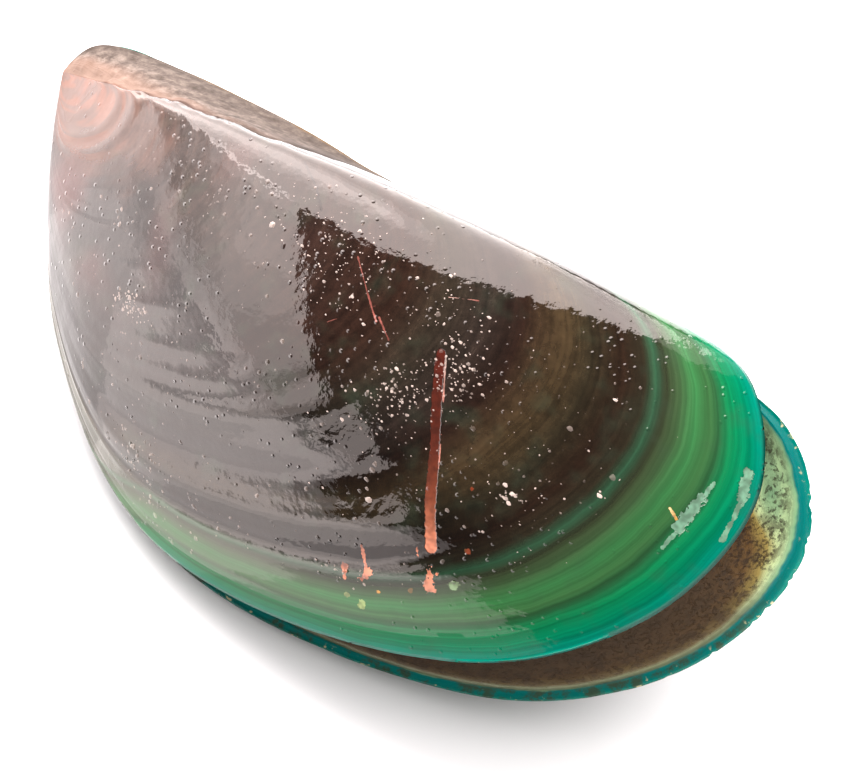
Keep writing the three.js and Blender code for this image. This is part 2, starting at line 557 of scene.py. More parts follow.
@dataclass
class Valve:
    """One valve: its outside with all relief, the lip of its margin and its hollow."""

    name: str
    side: Side
    growth: Growth
    pose: RestPose
    relief: Relief
    plan: GridPlan
    spots: tuple[Spot, ...] = ()
    clusters: tuple[Cluster, ...] = ()
    pimples: int = 0
    rim_wear: float = 0.05
    notches: tuple[Notch, ...] = ()
    lip_dish: float = 0.35
    small_pimple: float = 0.16
    worn_from: float = 0.975
    ragged_length: float = 5.0
    flank_ragged: float = 0.007
    margin_ragged: float = 0.006
    inset_scale: float = 50.0

    @property
    def length(self) -> float:
        """Length of this valve in millimetres."""
        return self.pose.length * (self.pose.right_scale if self.side is Side.RIGHT else 1.0)

    def placed(self, offset: Vector) -> Matrix:
        """The move from the shell's own frame to the resting frame.

        Args:
            offset: Where the beak of the left valve lies at rest, in millimetres.

        Returns:
            The move, in millimetres.
        """
        opened = self.pose.opened(self.growth) if self.side is Side.RIGHT else Matrix.Identity(4)
        return Matrix.Translation(offset) @ self.pose.laid() @ opened

    def rim(self, place: Array) -> Array:
        """How far the worn margin stands back at each place, in millimetres.

        Args:
            place: Places round the margin.

        Returns:
            The set-back, never negative.
        """
        grain = Grain(self.relief.seed + 5)
        rough = grain.line(place * 34) + 0.5 * grain.line(place * 130 + 9)
        worn = self.rim_wear * (0.3 + np.maximum(rough - 0.1, 0) * 2)
        for notch in self.notches:
            worn = worn + notch.depth * hill(place, notch.place, notch.width)
        return worn

    def surface(self, share: Array, place: Array) -> tuple[Array, Array]:
        """Points and outward directions of the outside without wear.

        Args:
            share: Growth share, any shape.
            place: Share of the way round the margin, the same shape.

        Returns:
            The points and the unit outward directions, in the shell's own frame.
        """
        point = self.growth.outside(share, place, self.length, self.side)
        older = self.growth.outside(share * (1 - STEP), place, self.length, self.side)
        along = self.growth.outside(share, place + STEP, self.length, self.side)
        back = self.growth.outside(share, place - STEP, self.length, self.side)
        out = np.cross(along - back, point - older) * self.side.value
        out /= np.linalg.norm(out, axis=-1, keepdims=True) + 1e-12
        return point, out

    def build(self, offset: Vector) -> bpy.types.Object:
        """Makes the valve's mesh.

        Args:
            offset: Where the beak of the left valve lies at rest, in millimetres.

        Returns:
            The valve, its faces sorted into the material slots.
        """
        store = MeshStore()
        self._add_walls(store)
        self._add_pimples(store)
        placed = self.placed(offset)
        store.points = [move(part, placed) for part in store.points]
        if self.side is Side.LEFT:
            for part in store.points:
                part[:, 2] = np.maximum(part[:, 2], 0)
        return store.to_object(self.name, flip=self.side is Side.LEFT)

    def _add_walls(self, store: MeshStore) -> None:
        """Adds the outside, the lip and the hollow as one closed skin.

        Args:
            store: Where they go.
        """
        places = self.plan.places()
        shares = np.linspace(self.plan.youngest, 1, self.plan.outside_rows)
        share, place = np.meshgrid(shares, places, indexing="ij")
        point, out = self.surface(share, place)
        point = point + out * self.relief.height(share, place, point)[..., None]
        pull = smooth(share, self.worn_from, 1.0) * self.rim(places)
        point = point + self.growth.inward(places)[None] * pull[..., None]

        hollow_shares = np.linspace(1, self.plan.hollow_youngest, self.plan.hollow_rows)
        hollow_share, hollow_place = np.meshgrid(hollow_shares, places, indexing="ij")
        bare = self.growth.outside(hollow_share, hollow_place, self.length, self.side)
        inside = self.growth.hollow(bare, self.length)
        grain = Grain(self.relief.seed + 9)
        toward = np.array([0, 0, -float(self.side.value)])
        ripple = 0.10 * grain.field(inside / 6.0) + 0.03 * grain.field(inside / 1.7)
        inside = inside + toward * (ripple * smooth(1 - hollow_share, 0, 0.03))[..., None]

        edge = point[-1]
        steps = (np.arange(self.plan.lip_rows) + 1) / (self.plan.lip_rows + 1)
        lip = edge[None] + (inside[0] - edge)[None] * steps[:, None, None]
        crown = self.lip_dish * np.sin(np.pi * steps) * (1 - steps) - 0.12 * np.exp(-steps * 14)
        lip = lip + np.array([0, 0, float(self.side.value)]) * crown[:, None, None]
        lip_place = np.broadcast_to(places, lip.shape[:2])
        lip_inset = np.broadcast_to(steps[:, None], lip.shape[:2])

        rows = np.concatenate([point, lip, inside])
        grown = np.concatenate([share, np.ones_like(lip_place), hollow_share])
        round_it = np.concatenate([place, lip_place, hollow_place])
        deep = 1 + (1 - hollow_share) * self.inset_scale
        inset = np.concatenate([np.zeros_like(share), lip_inset, deep])
        first = store.add(rows, growth=grown, around=round_it, inset=inset, pale=np.zeros_like(inset))
        slots = np.full((len(rows) - 1, len(places)), int(Slot.INSIDE))
        slots[: self.plan.outside_rows - 1] = self._parts(share, place, point)[:-1]
        store.skin(first, len(rows), len(places), slots)
        self._cap(store, first, rows[0], outside=True)
        self._cap(store, first + (len(rows) - 1) * len(places), rows[-1], outside=False)

    def _parts(self, share: Array, place: Array, point: Array) -> Array:
        """Sorts the outside into the wet skin, the dry rough flank and the margin.

        Args:
            share: Growth share.
            place: Share of the way round the margin.
            point: The points, in millimetres.

        Returns:
            The material slot of each point.
        """
        ragged = Grain(self.relief.seed + 13).rough(point / self.ragged_length, 2)
        edge = FLANK_EDGE - FLANK_DRAWN_IN * smooth(share, *FLANK_TURN)
        margin = share + self.margin_ragged * ragged > MARGIN_FROM
        flank = place + self.flank_ragged * ragged < edge
        return np.where(flank, int(Slot.FLANK), np.where(margin, int(Slot.MARGIN), int(Slot.WET)))

    def _cap(self, store: MeshStore, first: int, ring: Array, outside: bool) -> None:
        """Closes an end of the skin with a fan.

        Args:
            store: Where it goes.
            first: Index of the ring's first vertex.
            ring: The points of the ring at that end.
            outside: Whether it is the tip of the beak, and not the bottom of the hollow.
        """
        share = self.plan.youngest if outside else self.plan.hollow_youngest
        inset = 0.0 if outside else self.inset_scale
        slot = Slot.WET if outside else Slot.INSIDE
        tip = store.add(ring.mean(axis=0), growth=[share], around=[0.5], inset=[inset], pale=[0.0])
        for col in range(len(ring)):
            here = first + col
            after = first + (col + 1) % len(ring)
            store.face([tip, after, here] if outside else [tip, here, after], slot)

    def _pimple_list(self) -> list[Spot]:
        """Gathers the pimples: the listed ones, the clusters and the scattered ones.

        Returns:
            All pimples that lie well on the outside.
        """
        rng = np.random.default_rng(self.relief.seed + 1)
        found = list(self.spots)
        for patch in self.clusters:
            for _ in range(patch.count):
                share = rng.normal(patch.share, patch.spread_share)
                place = rng.normal(patch.place, patch.spread_place)
                size = patch.size * (0.6 + 1.5 * rng.random() ** 3)
                pale = patch.pale * rng.uniform(0.3, 1.2)
                found.append(Spot(share, place, size, pale, rng.uniform(0.8, 1.7)))
        for _ in range(self.pimples):
            share = math.sqrt(rng.uniform(0.05, 0.80))
            size = rng.uniform(0.07, 0.13) + 0.24 * rng.random() ** 6
            place = rng.uniform(0.40, 0.80)
            pale = rng.uniform(0.0, 0.2)
            found.append(Spot(share, place, size, pale, rng.uniform(0.8, 1.3)))
        return [spot for spot in found if 0.08 < spot.share < 0.985]

    def _add_pimples(self, store: MeshStore) -> None:
        """Adds a small closed dome, sunk a little into the shell, at every pimple.

        Args:
            store: Where they go.
        """
        rng = np.random.default_rng(self.relief.seed + 2)
        spots = self._pimple_list()
        if not spots:
            return
        share = np.array([spot.share for spot in spots])
        place = np.array([spot.place for spot in spots])
        base, out = self.surface(share, place)
        older, _ = self.surface(share * 0.999, place)
        ahead = base - older
        ahead -= out * np.sum(ahead * out, axis=1, keepdims=True)
        ahead /= np.linalg.norm(ahead, axis=1, keepdims=True)
        base = base + out * self.relief.height(share, place, base)[:, None]
        for spot, middle, up, along in zip(spots, base, out, ahead):
            sides, rings = (6, 2) if spot.size < self.small_pimple else (9, 3)
            angles = 2 * np.pi * np.arange(sides) / sides
            across = np.cross(up, along)
            tall = spot.size * rng.uniform(0.17, 0.34)
            radius = spot.size * (1 + 0.22 * rng.uniform(-1, 1, sides))
            long_way = np.cos(angles)[:, None] * along * spot.stretch
            spread = (long_way + np.sin(angles)[:, None] * across) * radius[:, None]
            foot = middle - up * 0.06 * spot.size
            layers = [foot + spread * 1.15 - up * 0.10 * spot.size]
            for ring in range(rings):
                reach = 0.86 * (1 - ring / rings)
                layers.append(foot + spread * reach + up * tall * (1 - reach ** 2) ** 1.5)
            points = np.concatenate([*layers, [foot + up * tall], [foot - up * 0.2 * spot.size]])
            self._add_dome(store, points, spot, sides, rings)

    @staticmethod
    def _add_dome(store: MeshStore, points: Array, spot: Spot, sides: int, rings: int) -> None:
        """Adds one dome.

        Args:
            store: Where it goes.
            points: Its rings from the foot up, then its top, then the middle of its foot.
            spot: The pimple it stands for.
            sides: Vertices in a ring.
            rings: Bands between the rings.
        """
        even = np.ones(len(points))
        first = store.add(
            points, growth=even * spot.share, around=even * spot.place, inset=even * 0, pale=even * spot.pale
        )
        store.skin(first, rings + 1, sides, np.full((rings, sides), int(Slot.WET)))
        top = first + len(points) - 2
        last = first + rings * sides
        for col in range(sides):
            after = (col + 1) % sides
            store.face([top, last + col, last + after], Slot.WET)
            store.face([top + 1, first + after, first + col], Slot.WET)

    def spot_at(self, share: float, place: float, offset: Vector) -> tuple[float, float, float]:
        """A point on the placed outside.

        Args:
            share: Growth share.
            place: Share of the way round the margin.
            offset: Where the beak of the left valve lies at rest, in millimetres.

        Returns:
            The point in metres.
        """
        point = self.growth.outside(np.array([share]), np.array([place]), self.length, self.side)
        return tuple(move(point, self.placed(offset))[0] * MM)


@dataclass
class Ligament:
    """The dark springy band along the inside of the hinge."""

    growth: Growth
    pose: RestPose
    start: float = 0.93
    end: float = 0.80
    setback: float = 1.3
    half_width: float = 0.8
    half_height: float = 1.1
    lift: float = 0.4
    tip_share: float = 0.3
    stations: int = 90
    sides: int = 36
    fibre_depth: float = 0.05
    seed: int = 31

    def build(self, offset: Vector) -> bpy.types.Object:
        """Makes the band as a ribbed spindle.

        Args:
            offset: Where the beak of the left valve lies at rest, in millimetres.

        Returns:
            The band.
        """
        share = np.linspace(0, 1, self.stations)
        place = self.start + (self.end - self.start) * share
        margin = self.growth.margin(place) * self.pose.length
        inward = self.growth.inward(place)
        middle = self.growth.hollow(np.column_stack([margin, np.zeros(len(share))]), self.pose.length)
        middle = middle + inward * self.setback + np.array([0, 0, self.lift])
        swell = self.tip_share + (1 - self.tip_share) * np.sin(np.pi * share)
        angle = 2 * np.pi * np.arange(self.sides) / self.sides
        grain = Grain(self.seed)
        along = np.broadcast_to(share[:, None] * 3, (self.stations, self.sides))
        turn = np.stack([along, 2.6 * np.cos(angle) + 0 * along, 2.6 * np.sin(angle) + 0 * along], axis=-1)
        ribs = 1 - self.fibre_depth * (1 + grain.rough(turn, 3))
        wide = (self.half_width * swell)[:, None] * np.cos(angle) * ribs
        tall = (self.half_height * swell)[:, None] * np.sin(angle) * ribs
        rows = middle[:, None] + inward[:, None] * wide[..., None] + np.array([0, 0, 1.0]) * tall[..., None]
        store = MeshStore()
        length = np.broadcast_to(share[:, None], (self.stations, self.sides))
        turned = np.broadcast_to(angle / (2 * np.pi), (self.stations, self.sides))
        first = store.add(rows, growth=length, around=turned)
        store.skin(first, self.stations, self.sides, np.zeros((self.stations, self.sides), dtype=int))
        for row, order in ((0, 1), (self.stations - 1, -1)):
            tip = store.add(middle[row], growth=[share[row]], around=[0.5])
            base = first + row * self.sides
            for col in range(self.sides):
                corners = [tip, base + (col + 1) % self.sides, base + col]
                store.face(corners[::order], 0)
        placed = Matrix.Translation(offset) @ self.pose.laid()
        store.points = [move(part, placed) for part in store.points]
        return store.to_object("ligament_band", flip=False)


class Sheet:
    """A node tree with short calls for adding and joining nodes."""

    def __init__(self, tree: bpy.types.NodeTree) -> None:
        """Keeps the tree.

        Args:
            tree: A material's or a group's node tree.
        """
        self.tree = tree

    def add(self, kind: str, **settings: object) -> bpy.types.Node:
        """Adds a node.

        Args:
            kind: The node's type name.
            **settings: Properties to set on it.

        Returns:
            The node.
        """
        node = self.tree.nodes.new(kind)
        for key, value in settings.items():
            setattr(node, key, value)
        return node

    def feed(self, socket: bpy.types.NodeSocket, value: object) -> None:
        """Links a socket, or sets its constant.

        Args:
            socket: The input.
            value: An output socket, or a number, vector or colour.
        """
        if isinstance(value, bpy.types.NodeSocket):
            self.tree.links.new(value, socket)
        else:
            socket.default_value = value

    def math(self, operation: str, *values: object, clamp: bool = False) -> bpy.types.NodeSocket:
        """A math node's output.

        Args:
            operation: The operation's name.
            *values: Its inputs, sockets or numbers.
            clamp: Keeps the result from 0 to 1.

        Returns:
            The result.
        """
        node = self.add("ShaderNodeMath", operation=operation, use_clamp=clamp)
        for socket, value in zip(node.inputs, values):
            self.feed(socket, value)
        return node.outputs[0]

    def times(self, first: object, second: object) -> bpy.types.NodeSocket:
        """Two numbers multiplied."""
        return self.math("MULTIPLY", first, second)

    def plus(self, first: object, second: object) -> bpy.types.NodeSocket:
        """Two numbers added."""
        return self.math("ADD", first, second)

    def less(self, first: object, second: object) -> bpy.types.NodeSocket:
        """The first number less the second."""
        return self.math("SUBTRACT", first, second)

    def vector(self, operation: str, *values: object) -> bpy.types.Node:
        """A vector math node, whose outputs the caller picks.

        Args:
            operation: The operation's name.
            *values: Its inputs, sockets or vectors.

        Returns:
            The node.
        """
        node = self.add("ShaderNodeVectorMath", operation=operation)
        for socket, value in zip(node.inputs, values):
            self.feed(socket, value)
        return node

    def mix(self, share: object, low: object, high: object, blend: str = "MIX") -> bpy.types.NodeSocket:
        """Mixes two colours.

        Args:
            share: How much of the second.
            low: The first colour.
            high: The second colour.
            blend: The way of mixing.

        Returns:
            The mixed colour.
        """
        node = self.add("ShaderNodeMix", data_type="RGBA", blend_type=blend)
        self.feed(node.inputs[0], share)
        self.feed(node.inputs[6], low)
        self.feed(node.inputs[7], high)
        return node.outputs[2]

    def toned(self, colour: object, tone: object) -> bpy.types.NodeSocket:
        """A colour made lighter or darker by a factor."""
        return self.mix(1.0, colour, self.combine(tone, tone, tone), "MULTIPLY")

    def blend(self, share: object, low: object, high: object) -> bpy.types.NodeSocket:
        """Mixes two numbers.

        Args:
            share: How much of the second.
            low: The first number.
            high: The second number.

        Returns:
            The mixed number.
        """
        node = self.add("ShaderNodeMix", data_type="FLOAT")
        self.feed(node.inputs[0], share)
        self.feed(node.inputs[2], low)
        self.feed(node.inputs[3], high)
        return node.outputs[0]

    def span(self, value: object, start: float, end: float) -> bpy.types.NodeSocket:
        """Eases a value from 0 at start to 1 at end.

        Args:
            value: The value.
            start: Where the result is 0.
            end: Where the result is 1.

        Returns:
            The eased value.
        """
        node = self.add("ShaderNodeMapRange", interpolation_type="SMOOTHSTEP")
        self.feed(node.inputs["Value"], value)
        node.inputs["From Min"].default_value = min(start, end)
        node.inputs["From Max"].default_value = max(start, end)
        node.inputs["To Min"].default_value = 0.0 if start < end else 1.0
        node.inputs["To Max"].default_value = 1.0 if start < end else 0.0
        return node.outputs["Result"]

    def ramp(self, share: object, stops: tuple[Stop, ...]) -> bpy.types.NodeSocket:
        """A colour ramp.

        Args:
            share: Where along the ramp.
            stops: Positions and colours, in order.

        Returns:
            The colour.
        """
        node = self.add("ShaderNodeValToRGB")
        elements = node.color_ramp.elements
        while len(elements) < len(stops):
            elements.new(1.0)
        for element, (position, colour) in zip(elements, stops):
            element.position = position
            element.color = colour
        self.feed(node.inputs[0], share)
        return node.outputs[0]

    def noise(
        self, vector: object, scale: float, detail: float = 2.0, rough: float = 0.5
    ) -> bpy.types.NodeSocket:
        """Noise in space, from 0 to 1.

        Args:
            vector: Where.
            scale: How fine.
            detail: How many finer layers.
            rough: How strong the finer layers are.

        Returns:
            The noise value.
        """
        node = self.add("ShaderNodeTexNoise")
        self.feed(node.inputs["Vector"], vector)
        node.inputs["Scale"].default_value = scale
        node.inputs["Detail"].default_value = detail
        node.inputs["Roughness"].default_value = rough
        return node.outputs[0]

    def cells(self, vector: object, scale: float) -> bpy.types.NodeSocket:
        """Distance to the nearest of many scattered points.

        Args:
            vector: Where.
            scale: How close together the points are.

        Returns:
            The distance, as a share of the spacing.
        """
        node = self.add("ShaderNodeTexVoronoi")
        self.feed(node.inputs["Vector"], vector)
        node.inputs["Scale"].default_value = scale
        return node.outputs["Distance"]

    def combine(self, first: object, second: object, third: object) -> bpy.types.NodeSocket:
        """A vector from three numbers."""
        node = self.add("ShaderNodeCombineXYZ")
        for socket, value in zip(node.inputs, (first, second, third)):
            self.feed(socket, value)
        return node.outputs[0]

    def bump(self, height: object) -> bpy.types.NodeSocket:
        """A normal bent by a height in metres."""
        node = self.add("ShaderNodeBump")
        node.inputs["Strength"].default_value = 1.0
        node.inputs["Distance"].default_value = 1.0
        self.feed(node.inputs["Height"], height)
        return node.outputs[0]

    def group(self, tree: bpy.types.NodeTree, **inputs: object) -> bpy.types.Node:
        """Uses a node group.

        Args:
            tree: The group.
            **inputs: Values for its inputs, by name with spaces as underscores.

        Returns:
            The group's node.
        """
        node = self.add("ShaderNodeGroup", node_tree=tree)
        for key, value in inputs.items():
            self.feed(node.inputs[key.replace("_", " ")], value)
        return node


class GroupKind(Enum):
    """The shader node groups that the finishes share."""

    GROWTH_LINES = "growth_lines"
    STRIPE = "stripe_mask"
    BLOT = "blot_mask"
    WET_SKIN = "wet_skin"


class Groups:
    """Makes each shared node group once."""

    def __init__(self) -> None:
        """Starts with no groups made."""
        self.made: dict[GroupKind, bpy.types.NodeTree] = {}

    def get(self, kind: GroupKind) -> bpy.types.NodeTree:
        """A group, made on first use.

        Args:
            kind: Which group.

        Returns:
            The group's node tree.
        """
        if kind not in self.made:
            maker = {
                GroupKind.GROWTH_LINES: self._growth_lines,
                GroupKind.STRIPE: self._stripe,
                GroupKind.BLOT: self._blot,
                GroupKind.WET_SKIN: self._wet_skin,
            }[kind]
            self.made[kind] = maker()
        return self.made[kind]

    @staticmethod
    def _start(kind: GroupKind, inputs: dict[str, str], outputs: dict[str, str]) -> tuple[Sheet, dict, dict]:
        """Makes an empty group with named sockets.

        Args:
            kind: Which group.
            inputs: Input names and socket types.
            outputs: Output names and socket types.

        Returns:
            The sheet, the group's input sockets and its output sockets by name.
        """
        tree = bpy.data.node_groups.new(kind.value, "ShaderNodeTree")
        for name, socket in inputs.items():
            tree.interface.new_socket(name, in_out="INPUT", socket_type=socket)
        for name, socket in outputs.items():
            tree.interface.new_socket(name, in_out="OUTPUT", socket_type=socket)
        sheet = Sheet(tree)
        entry = sheet.add("NodeGroupInput")
        leave = sheet.add("NodeGroupOutput")
        return sheet, {s.name: s for s in entry.outputs}, {s.name: s for s in leave.inputs}

    def _growth_lines(self) -> bpy.types.NodeTree:
        """Streaks that follow the growth lines: a broad set and a fine set, from 0 to 1.

        Returns:
            The group's node tree.
        """
        sheet, given, out = self._start(
            GroupKind.GROWTH_LINES,
            {"Growth": "NodeSocketFloat", "Around": "NodeSocketFloat", "Position": "NodeSocketVector"},
            {"Growth": "NodeSocketFloat", "Broad": "NodeSocketFloat", "Fine": "NodeSocketFloat"},
        )
        sway = sheet.less(sheet.noise(given["Position"], 90.0), 0.5)
        tremble = sheet.less(sheet.noise(given["Position"], 420.0), 0.5)
        shift = sheet.plus(sheet.times(sway, 0.010), sheet.times(tremble, 0.003))
        drifted = sheet.plus(given["Growth"], shift)
        along = sheet.times(given["Around"], 5.0)
        broad = sheet.noise(sheet.combine(sheet.times(drifted, 55.0), along, 0.0), 1.0, 1.0)
        fine = sheet.noise(sheet.combine(sheet.times(drifted, 240.0), along, 3.0), 1.0, 2.0)
        sheet.feed(out["Growth"], drifted)
        sheet.feed(out["Broad"], sheet.span(broad, 0.25, 0.75))
        sheet.feed(out["Fine"], sheet.span(fine, 0.25, 0.75))
        return sheet.tree

    def _stripe(self) -> bpy.types.NodeTree:
        """A streak from one point to another, with ragged edges, and the share of the way along it.

        Returns:
            The group's node tree.
        """
        sheet, given, out = self._start(
            GroupKind.STRIPE,
            {
                "Position": "NodeSocketVector", "Start": "NodeSocketVector", "End": "NodeSocketVector",
                "Half Width": "NodeSocketFloat", "Ragged": "NodeSocketFloat", "Wander": "NodeSocketFloat",
            },
            {"Mask": "NodeSocketFloat", "Along": "NodeSocketFloat"},
        )
        run = sheet.vector("SUBTRACT", given["End"], given["Start"]).outputs[0]
        here = sheet.vector("SUBTRACT", given["Position"], given["Start"]).outputs[0]
        ahead = sheet.vector("DOT_PRODUCT", here, run).outputs["Value"]
        whole = sheet.vector("DOT_PRODUCT", run, run).outputs["Value"]
        along = sheet.math("DIVIDE", ahead, whole, clamp=True)
        nearest = sheet.vector("SCALE", run)
        sheet.feed(nearest.inputs["Scale"], along)
        aside = sheet.vector("SUBTRACT", here, nearest.outputs[0]).outputs[0]
        distance = sheet.vector("LENGTH", aside).outputs["Value"]
        ragged = sheet.times(sheet.times(given["Wander"], given["Ragged"]), given["Half Width"])
        share = sheet.math("DIVIDE", sheet.plus(distance, ragged), given["Half Width"])
        sheet.feed(out["Mask"], sheet.span(share, 1.06, 0.90))
        sheet.feed(out["Along"], along)
        return sheet.tree

    def _blot(self) -> bpy.types.NodeTree:
        """A small spot with a ragged outline.

        Returns:
            The group's node tree.
        """
        sheet, given, out = self._start(
            GroupKind.BLOT,
            {
                "Position": "NodeSocketVector", "Centre": "NodeSocketVector",
                "Radius": "NodeSocketFloat", "Ragged": "NodeSocketFloat", "Wander": "NodeSocketFloat",
            },
            {"Mask": "NodeSocketFloat"},
        )
        distance = sheet.vector("DISTANCE", given["Position"], given["Centre"]).outputs["Value"]
        ragged = sheet.times(given["Wander"], given["Ragged"])
        share = sheet.plus(sheet.math("DIVIDE", distance, given["Radius"]), ragged)
        sheet.feed(out["Mask"], sheet.span(share, 1.05, 0.85))
        return sheet.tree

    def _wet_skin(self) -> bpy.types.NodeTree:
        """Height of the wet skin's own unevenness: dimples, grit and ripples, in metres.

        Returns:
            The group's node tree.
        """
        sheet, given, out = self._start(
            GroupKind.WET_SKIN,
            {"Position": "NodeSocketVector"},
            {"Height": "NodeSocketFloat"},
        )
        dimple = sheet.times(sheet.noise(given["Position"], 480.0, 2.0), 0.000055)
        grit = sheet.span(sheet.cells(given["Position"], 900.0), 0.22, 0.05)
        patchy = sheet.span(sheet.noise(given["Position"], 160.0, 0.0), 0.42, 0.62)
        grit = sheet.times(sheet.times(grit, patchy), 0.00009)
        ripple = sheet.times(sheet.noise(given["Position"], 1500.0, 2.0, 0.6), 0.000014)
        total = sheet.plus(sheet.plus(dimple, grit), ripple)
        sheet.feed(out["Height"], total)
        return sheet.tree


@dataclass(frozen=True)
class Streak:
    """A mark on the outside between two spots, with its colours at both ends: a scar or scratch, or a
    painted highlight, reflection or groove shade.
    """

    start: tuple[float, float]
    end: tuple[float, float]
    half_width: float
    ragged: float
    first: Colour
    last: Colour
    sunk: bool = True


@dataclass(frozen=True)
class Chip:
    """A small spot of another colour, such as a place where the skin has flaked off."""

    share: float
    place: float
    radius: float
    colour: Colour


def new_material(name: str) -> tuple[bpy.types.Material, Sheet, bpy.types.Node]:
    """A material with one Principled shader.

    Args:
        name: The material's name.

    Returns:
        The material, its sheet and the shader node.
    """
    material = bpy.data.materials.new(name)
    material.use_nodes = True
    sheet = Sheet(material.node_tree)
    shader = material.node_tree.nodes["Principled BSDF"]
    return material, sheet, shader


def value_of(sheet: Sheet, name: str) -> bpy.types.NodeSocket:
    """A vertex value as a number.

    Args:
        sheet: The material's sheet.
        name: The attribute's name.

    Returns:
        The value.
    """
    return sheet.add("ShaderNodeAttribute", attribute_name=name).outputs["Fac"]


class SkinKind(Enum):
    """How strongly a part of the skin mirrors: under the film of water, at the margin, or dry."""

    WET = 0.5
    MARGIN = 0.16
    DRY = 0.10


@dataclass(frozen=True)
class OutsideFinish:
    """The skin of a valve: brown and olive growth bands and a green margin, under a film of water or dry."""

    name: str
    bands: tuple[Stop, ...] = (
        (0.00, srgb(96, 66, 56)),
        (0.16, srgb(70, 52, 45)),
        (0.27, srgb(48, 37, 33)),
        (0.42, srgb(38, 29, 25)),
        (0.56, srgb(35, 22, 17)),
        (0.61, srgb(35, 22, 16)),
        (0.655, srgb(37, 31, 24)),
        (0.70, srgb(35, 28, 24)),
        (0.738, srgb(29, 18, 13)),
        (0.785, srgb(53, 42, 27)),
        (0.812, srgb(34, 29, 19)),
        (0.848, srgb(31, 20, 13)),
        (0.872, srgb(36, 32, 22)),
        (0.883, srgb(38, 70, 49)),
        (0.892, srgb(34, 35, 23)),
        (0.908, srgb(46, 68, 41)),
        (0.926, srgb(43, 96, 53)),
        (0.941, srgb(46, 87, 48)),
        (0.951, srgb(27, 68, 39)),
        (0.962, srgb(8, 99, 58)),
        (0.982, srgb(0, 102, 71)),
        # At the very margin the teal is lighter: the margin's own teal with a painted highlight along the
        # rim edge.
        (1.00, srgb(0, 122, 104)),
    )
    flank: Colour = srgb(74, 65, 60)
    flank_dark: Colour = srgb(46, 39, 34)
    flank_pale: Colour = srgb(104, 94, 87)
    flank_outer: Colour = srgb(22, 18, 12)
    # Green greyed by a painted sheen of the water film, over the green's own colour.
    moss: Colour = srgb(40, 54, 42)
    sheen_greyed_green: Colour = srgb(66, 70, 58)
    umbo: Colour = srgb(76, 56, 48)
    flush: Colour = srgb(84, 46, 42)
    peach: Colour = srgb(92, 58, 44)
    tip: Colour = srgb(126, 99, 86)
    # Pale colour of the pimples: lime grit with a painted glint on their tops.
    grit_glint_speck: Colour = srgb(176, 160, 152)
    edge_skin: Colour = srgb(78, 58, 30)
    scar_dirt: Colour = srgb(30, 14, 10)
    chip_dirt: Colour = srgb(40, 44, 24)
    film_roughness: float = 0.045
    bare_roughness: float = 0.20
    dry_roughness: float = 0.8
    film_tint: Colour = (1.0, 0.93, 0.91, 1.0)
    streaks: tuple[Streak, ...] = ()
    chips: tuple[Chip, ...] = ()
    kind: SkinKind = SkinKind.WET
    deep_width: float = 0.45
    dent_depth: float = 0.08

    def material(self, groups: Groups, valve: Valve, offset: Vector) -> bpy.types.Material:
        """Makes the material.

        Args:
            groups: The shared node groups.
            valve: The valve whose streaks and chips are placed.
            offset: Where the beak of the left valve lies at rest, in millimetres.

        Returns:
            The material.
        """
        material, sheet, shader = new_material(self.name)
        position = sheet.add("ShaderNodeTexCoord").outputs["Object"]
        growth = value_of(sheet, "growth")
        around = value_of(sheet, "around")
        lines = sheet.group(
            groups.get(GroupKind.GROWTH_LINES), Growth=growth, Around=around, Position=position
        )
        colour = self._banded(sheet, position, growth, around, lines)
        colour, rough = self._worn_parts(sheet, position, growth, around, lines.outputs["Broad"], colour)
        colour, bare, dent = self._marks(sheet, groups, valve, offset, position, colour)
        # Pimples are painted pale by their pale value: lime grit with a painted glint on top.
        colour = sheet.mix(value_of(sheet, "pale"), colour, self.grit_glint_speck)
        rough = sheet.blend(bare, rough, self.bare_roughness)
        skin = sheet.group(groups.get(GroupKind.WET_SKIN), Position=position).outputs["Height"]
        height = sheet.less(skin, sheet.times(dent, self.dent_depth * MM))
        sheet.feed(shader.inputs["Base Color"], colour)
        sheet.feed(shader.inputs["Roughness"], rough)
        sheet.feed(shader.inputs["Normal"], sheet.bump(height))
        shader.inputs["Specular Tint"].default_value = self.film_tint
        shader.inputs["Specular IOR Level"].default_value = self.kind.value
        return material

    def _banded(
        self, sheet: Sheet, position: object, growth: object, around: object, lines: bpy.types.Node
    ) -> object:
        """Colours the growth bands, with their lines, mottling and leathery grain.

        Args:
            sheet: The material's sheet.
            position: Where.
            growth: Growth share.
            around: Place round the margin.
            lines: The growth lines' group node.

        Returns:
            The colour.
        """
        young = sheet.plus(sheet.span(around, 0.745, 0.83), sheet.span(around, 0.355, 0.27))
        grown = sheet.less(lines.outputs["Growth"], sheet.times(young, 0.15))
        colour = sheet.ramp(grown, self.bands)
        shade = sheet.plus(sheet.times(lines.outputs["Broad"], 0.26), 0.60)
        streaky = sheet.plus(sheet.times(lines.outputs["Fine"], 0.44), 0.78)
        shade = sheet.times(shade, streaky)
        dorsal = sheet.times(sheet.span(around, 0.54, 0.60), sheet.span(growth, 0.895, 0.865))
        shade = sheet.times(shade, sheet.less(1.0, sheet.times(dorsal, 0.60)))
        colour = sheet.toned(colour, shade)
        mottle = sheet.noise(position, 260.0, 2.0, 0.6)
        colour = sheet.mix(sheet.span(mottle, 0.50, 0.80), colour, sheet.mix(0.24, colour, self.moss))
        # Towards the left edge the green is greyed: its own colour with a painted grey sheen of the water
        # film.
        sheen_greying = sheet.times(sheet.span(around, 0.64, 0.72), 0.40)
        colour = sheet.mix(sheet.times(sheen_greying, sheet.span(growth, 0.86, 0.90)), colour, self.sheen_greyed_green)
        leather = sheet.plus(sheet.times(sheet.noise(position, 950.0, 2.0, 0.7), 1.3), 0.35)
        leather = sheet.blend(sheet.span(growth, 0.82, 0.90), leather, 1.0)
        return sheet.toned(colour, leather)

